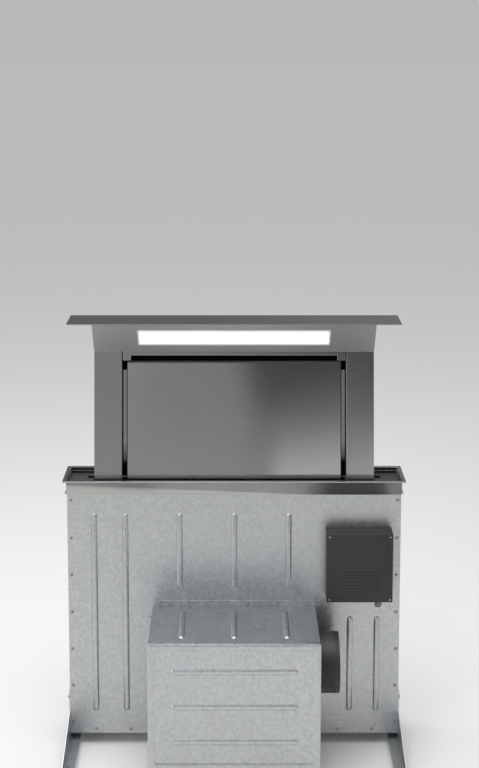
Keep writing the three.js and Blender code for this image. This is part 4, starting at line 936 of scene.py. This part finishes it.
def tower_screws(bm):
    """Low heads that hold the tower's rear sheet."""
    for z in steps_between(WORKTOP_Z + 30 * MM, TOWER_HIGH.z - 20 * MM, 6):
        for _, side in SIDES:
            screw(bm, on((side * (TOWER_HIGH.x - 12 * MM), TOWER_HIGH.y, z), BACK), LOW_SCREW)


for side, sign in SIDES:
    filter_weave(side, sign)
details("tower_screws", "tower_rear", [SCREW_STEEL], tower_screws)


# ---------------------------------------------------------------- lead screws

PULLEY_TAIL, PULLEY_HEIGHT, PULLEY_FLANGE = 3.0, 13.0, 1.2
PULLEY_RIM, PULLEY_HUB, PULLEY_COLLAR, PULLEY_STEPS = 18, 8, 9, 48
PULLEY_TEETH = (13.9, 15.0, 15.0)  # radii of one tooth's corners
THREAD_RADIUS, THREAD_DEPTH, THREAD_PITCH = 7.35, 0.62, 5.0
THREAD_STARTS = 2
THREAD_FLANK = 1.6             # how steep the flanks are; 1 is a plain wave
THREAD_STEP = 1.25             # height of one ring of the thread's mesh
THREAD_STEPS = 20              # corners of one ring
THREAD_RUNOUT = 3              # the thread fades over this length at its end


def pulley_rings():
    """Hub, two flanges and the teeth between them."""
    teeth = toothed(PULLEY_TEETH, PULLEY_STEPS)
    rim, hub, collar = (circle(radius, PULLEY_STEPS) for radius in (PULLEY_RIM, PULLEY_HUB, PULLEY_COLLAR))
    low, high = PULLEY_TAIL, PULLEY_TAIL + PULLEY_HEIGHT
    teeth_low, teeth_high = low + PULLEY_FLANGE, high - PULLEY_FLANGE
    return [
        (hub, 0), (hub, low), (rim, low), (rim, teeth_low), (teeth, teeth_low), (teeth, teeth_high),
        (rim, teeth_high), (rim, high), (collar, high), (collar, high + 1),
    ]


def thread_rings(start, length):
    count = int((length - start) / THREAD_STEP)
    rings = []
    for j in range(count + 1):
        h = start + (length - start) * j / count
        fade = min(1, (length - h) / THREAD_RUNOUT)
        points = []
        for i in range(THREAD_STEPS):
            a = 2 * math.pi * i / THREAD_STEPS
            wave = math.cos(2 * math.pi * h / THREAD_PITCH - THREAD_STARTS * a)
            r = THREAD_RADIUS + THREAD_DEPTH * max(-1, min(1, THREAD_FLANK * wave)) * fade
            points.append((r * math.cos(a), r * math.sin(a)))
        rings.append((points, h))
    return rings


def lead_screw(node):
    """Two-start thread over the screw's length, with its toothed pulley at the foot."""
    def draw(bm):
        low, high = box(node)
        place = on(((low.x + high.x) / 2, (low.y + high.y) / 2, low.z), UP, BACK)
        loft(bm, place, pulley_rings())
        loft(bm, place, thread_rings(PULLEY_TAIL + PULLEY_HEIGHT, (high.z - low.z) / MM))

    redraw(node, [LOOKS["machined_steel"]], draw, smooth=50)


for node in both("lead_screw"):
    lead_screw(node)


# ---------------------------------------------------------------- looks of the nodes shown as they are

for node, slot in SLOT_OF.items():
    if not frame["nodes"][node].hide_render:
        mesh = frame["nodes"][node].data
        mesh.materials.clear()
        mesh.materials.append(LOOKS[slot])


# ---------------------------------------------------------------- stage

FLOOR_HALF = 60
BACKDROP = 0.49                # brightness of the world where the camera sees it, as the far floor's
SKY_UP, SKY_LIGHT = (0.1, 0.9), (0.38, 0.75)  # how high a direction points, and the light from there
HORIZON_UP = (-0.06, 0.0)      # the dark places end here
FLAG_ACROSS, FLAG_AHEAD, FLAG_UP, FLAG_SHADE = (-0.02, 0.09), (-0.2, -0.5), (0.12, 0.28), 0.95
WALL_BEHIND, WALL_UP = (0.55, 0.8), (0.62, 0.42)
WALL_ACROSS, WALL_SHADE = (-0.03, 0.1), (0.56, 0.4)
LIGHTS = (                     # name, place, what it points at, size and power
    ("top", (-0.4, -0.2, 3.6), (0, 0.1, 0), (3.4, 3.0), 95),
    ("low_right", (2.4, -8.0, 0.3), (1.2, 0, 0.45), (3.2, 0.52), 3.7),
    ("front_left", (-3.2, -4.2, 2.2), (0, 0, 0.5), (1.8, 1.8), 45),
)


def make_floor():
    mesh = bpy.data.meshes.new("floor")
    corners = [(x * FLOOR_HALF, y * FLOOR_HALF, 0) for x, y in ((-1, -1), (1, -1), (1, 1), (-1, 1))]
    mesh.from_pydata(corners, [], [(0, 1, 2, 3)])
    floor = bpy.data.objects.new("floor", mesh)
    bpy.context.collection.objects.link(floor)
    g = Graph("floor_paint", (0.8, 0.795, 0.785), 0.0, 0.85, Specular_IOR_Level=0.0)
    g.bump(g.noise(60, detail=3), 0.4 * MM, 0.15)
    mesh.materials.append(g.material)


def area_light(name, place, target, size, power):
    data = bpy.data.lights.new(name, "AREA")
    data.shape = "RECTANGLE"
    data.size, data.size_y = size
    data.energy = power
    light = bpy.data.objects.new(name, data)
    light.location = place
    light.rotation_euler = (Vector(target) - Vector(place)).to_track_quat("-Z", "Y").to_euler()
    light.visible_camera = False
    bpy.context.collection.objects.link(light)


def make_world():
    """Soft light from all round, with a flag in front on the right and a dark wall low behind."""
    world = bpy.data.worlds.new("studio")
    world.use_nodes = True
    tree = world.node_tree
    nodes, links = tree.nodes, tree.links
    split = nodes.new("ShaderNodeSeparateXYZ")
    links.new(nodes.new("ShaderNodeTexCoord").outputs["Generated"], split.inputs["Vector"])
    x, y, z = (split.outputs[axis] for axis in "XYZ")

    def ranged(value, reach, shares=(0, 1)):
        node = nodes.new("ShaderNodeMapRange")
        node.interpolation_type = "SMOOTHSTEP"
        for key, number in zip(("From Min", "From Max", "To Min", "To Max"), (*reach, *shares)):
            node.inputs[key].default_value = number
        links.new(value, node.inputs["Value"])
        return node.outputs["Result"]

    def times(a, b):
        return math_node(tree, "MULTIPLY", a, b)

    def without(shade, share):
        return math_node(tree, "SUBTRACT", 1.0, times(shade, share))

    above = ranged(z, HORIZON_UP)
    flag_height = times(above, ranged(z, FLAG_UP, (1, 0)))
    flag = times(times(ranged(x, FLAG_ACROSS), ranged(y, FLAG_AHEAD)), flag_height)
    wall = times(times(ranged(y, WALL_BEHIND), ranged(z, WALL_UP)), above)
    sky = ranged(z, SKY_UP, SKY_LIGHT)
    wall_shade = ranged(x, WALL_ACROSS, WALL_SHADE)
    dimmed = times(sky, times(without(flag, FLAG_SHADE), without(wall, wall_shade)))

    seen = nodes.new("ShaderNodeMix")
    links.new(nodes.new("ShaderNodeLightPath").outputs["Is Camera Ray"], seen.inputs["Factor"])
    links.new(dimmed, seen.inputs["A"])
    seen.inputs["B"].default_value = BACKDROP
    background = nodes["Background"]
    links.new(seen.outputs["Result"], background.inputs["Strength"])
    background.inputs["Color"].default_value = (0.985, 0.99, 1, 1)
    bpy.context.scene.world = world


make_floor()
make_world()
for row in LIGHTS:
    area_light(*row)
bpy.context.scene.view_settings.view_transform = "Standard"
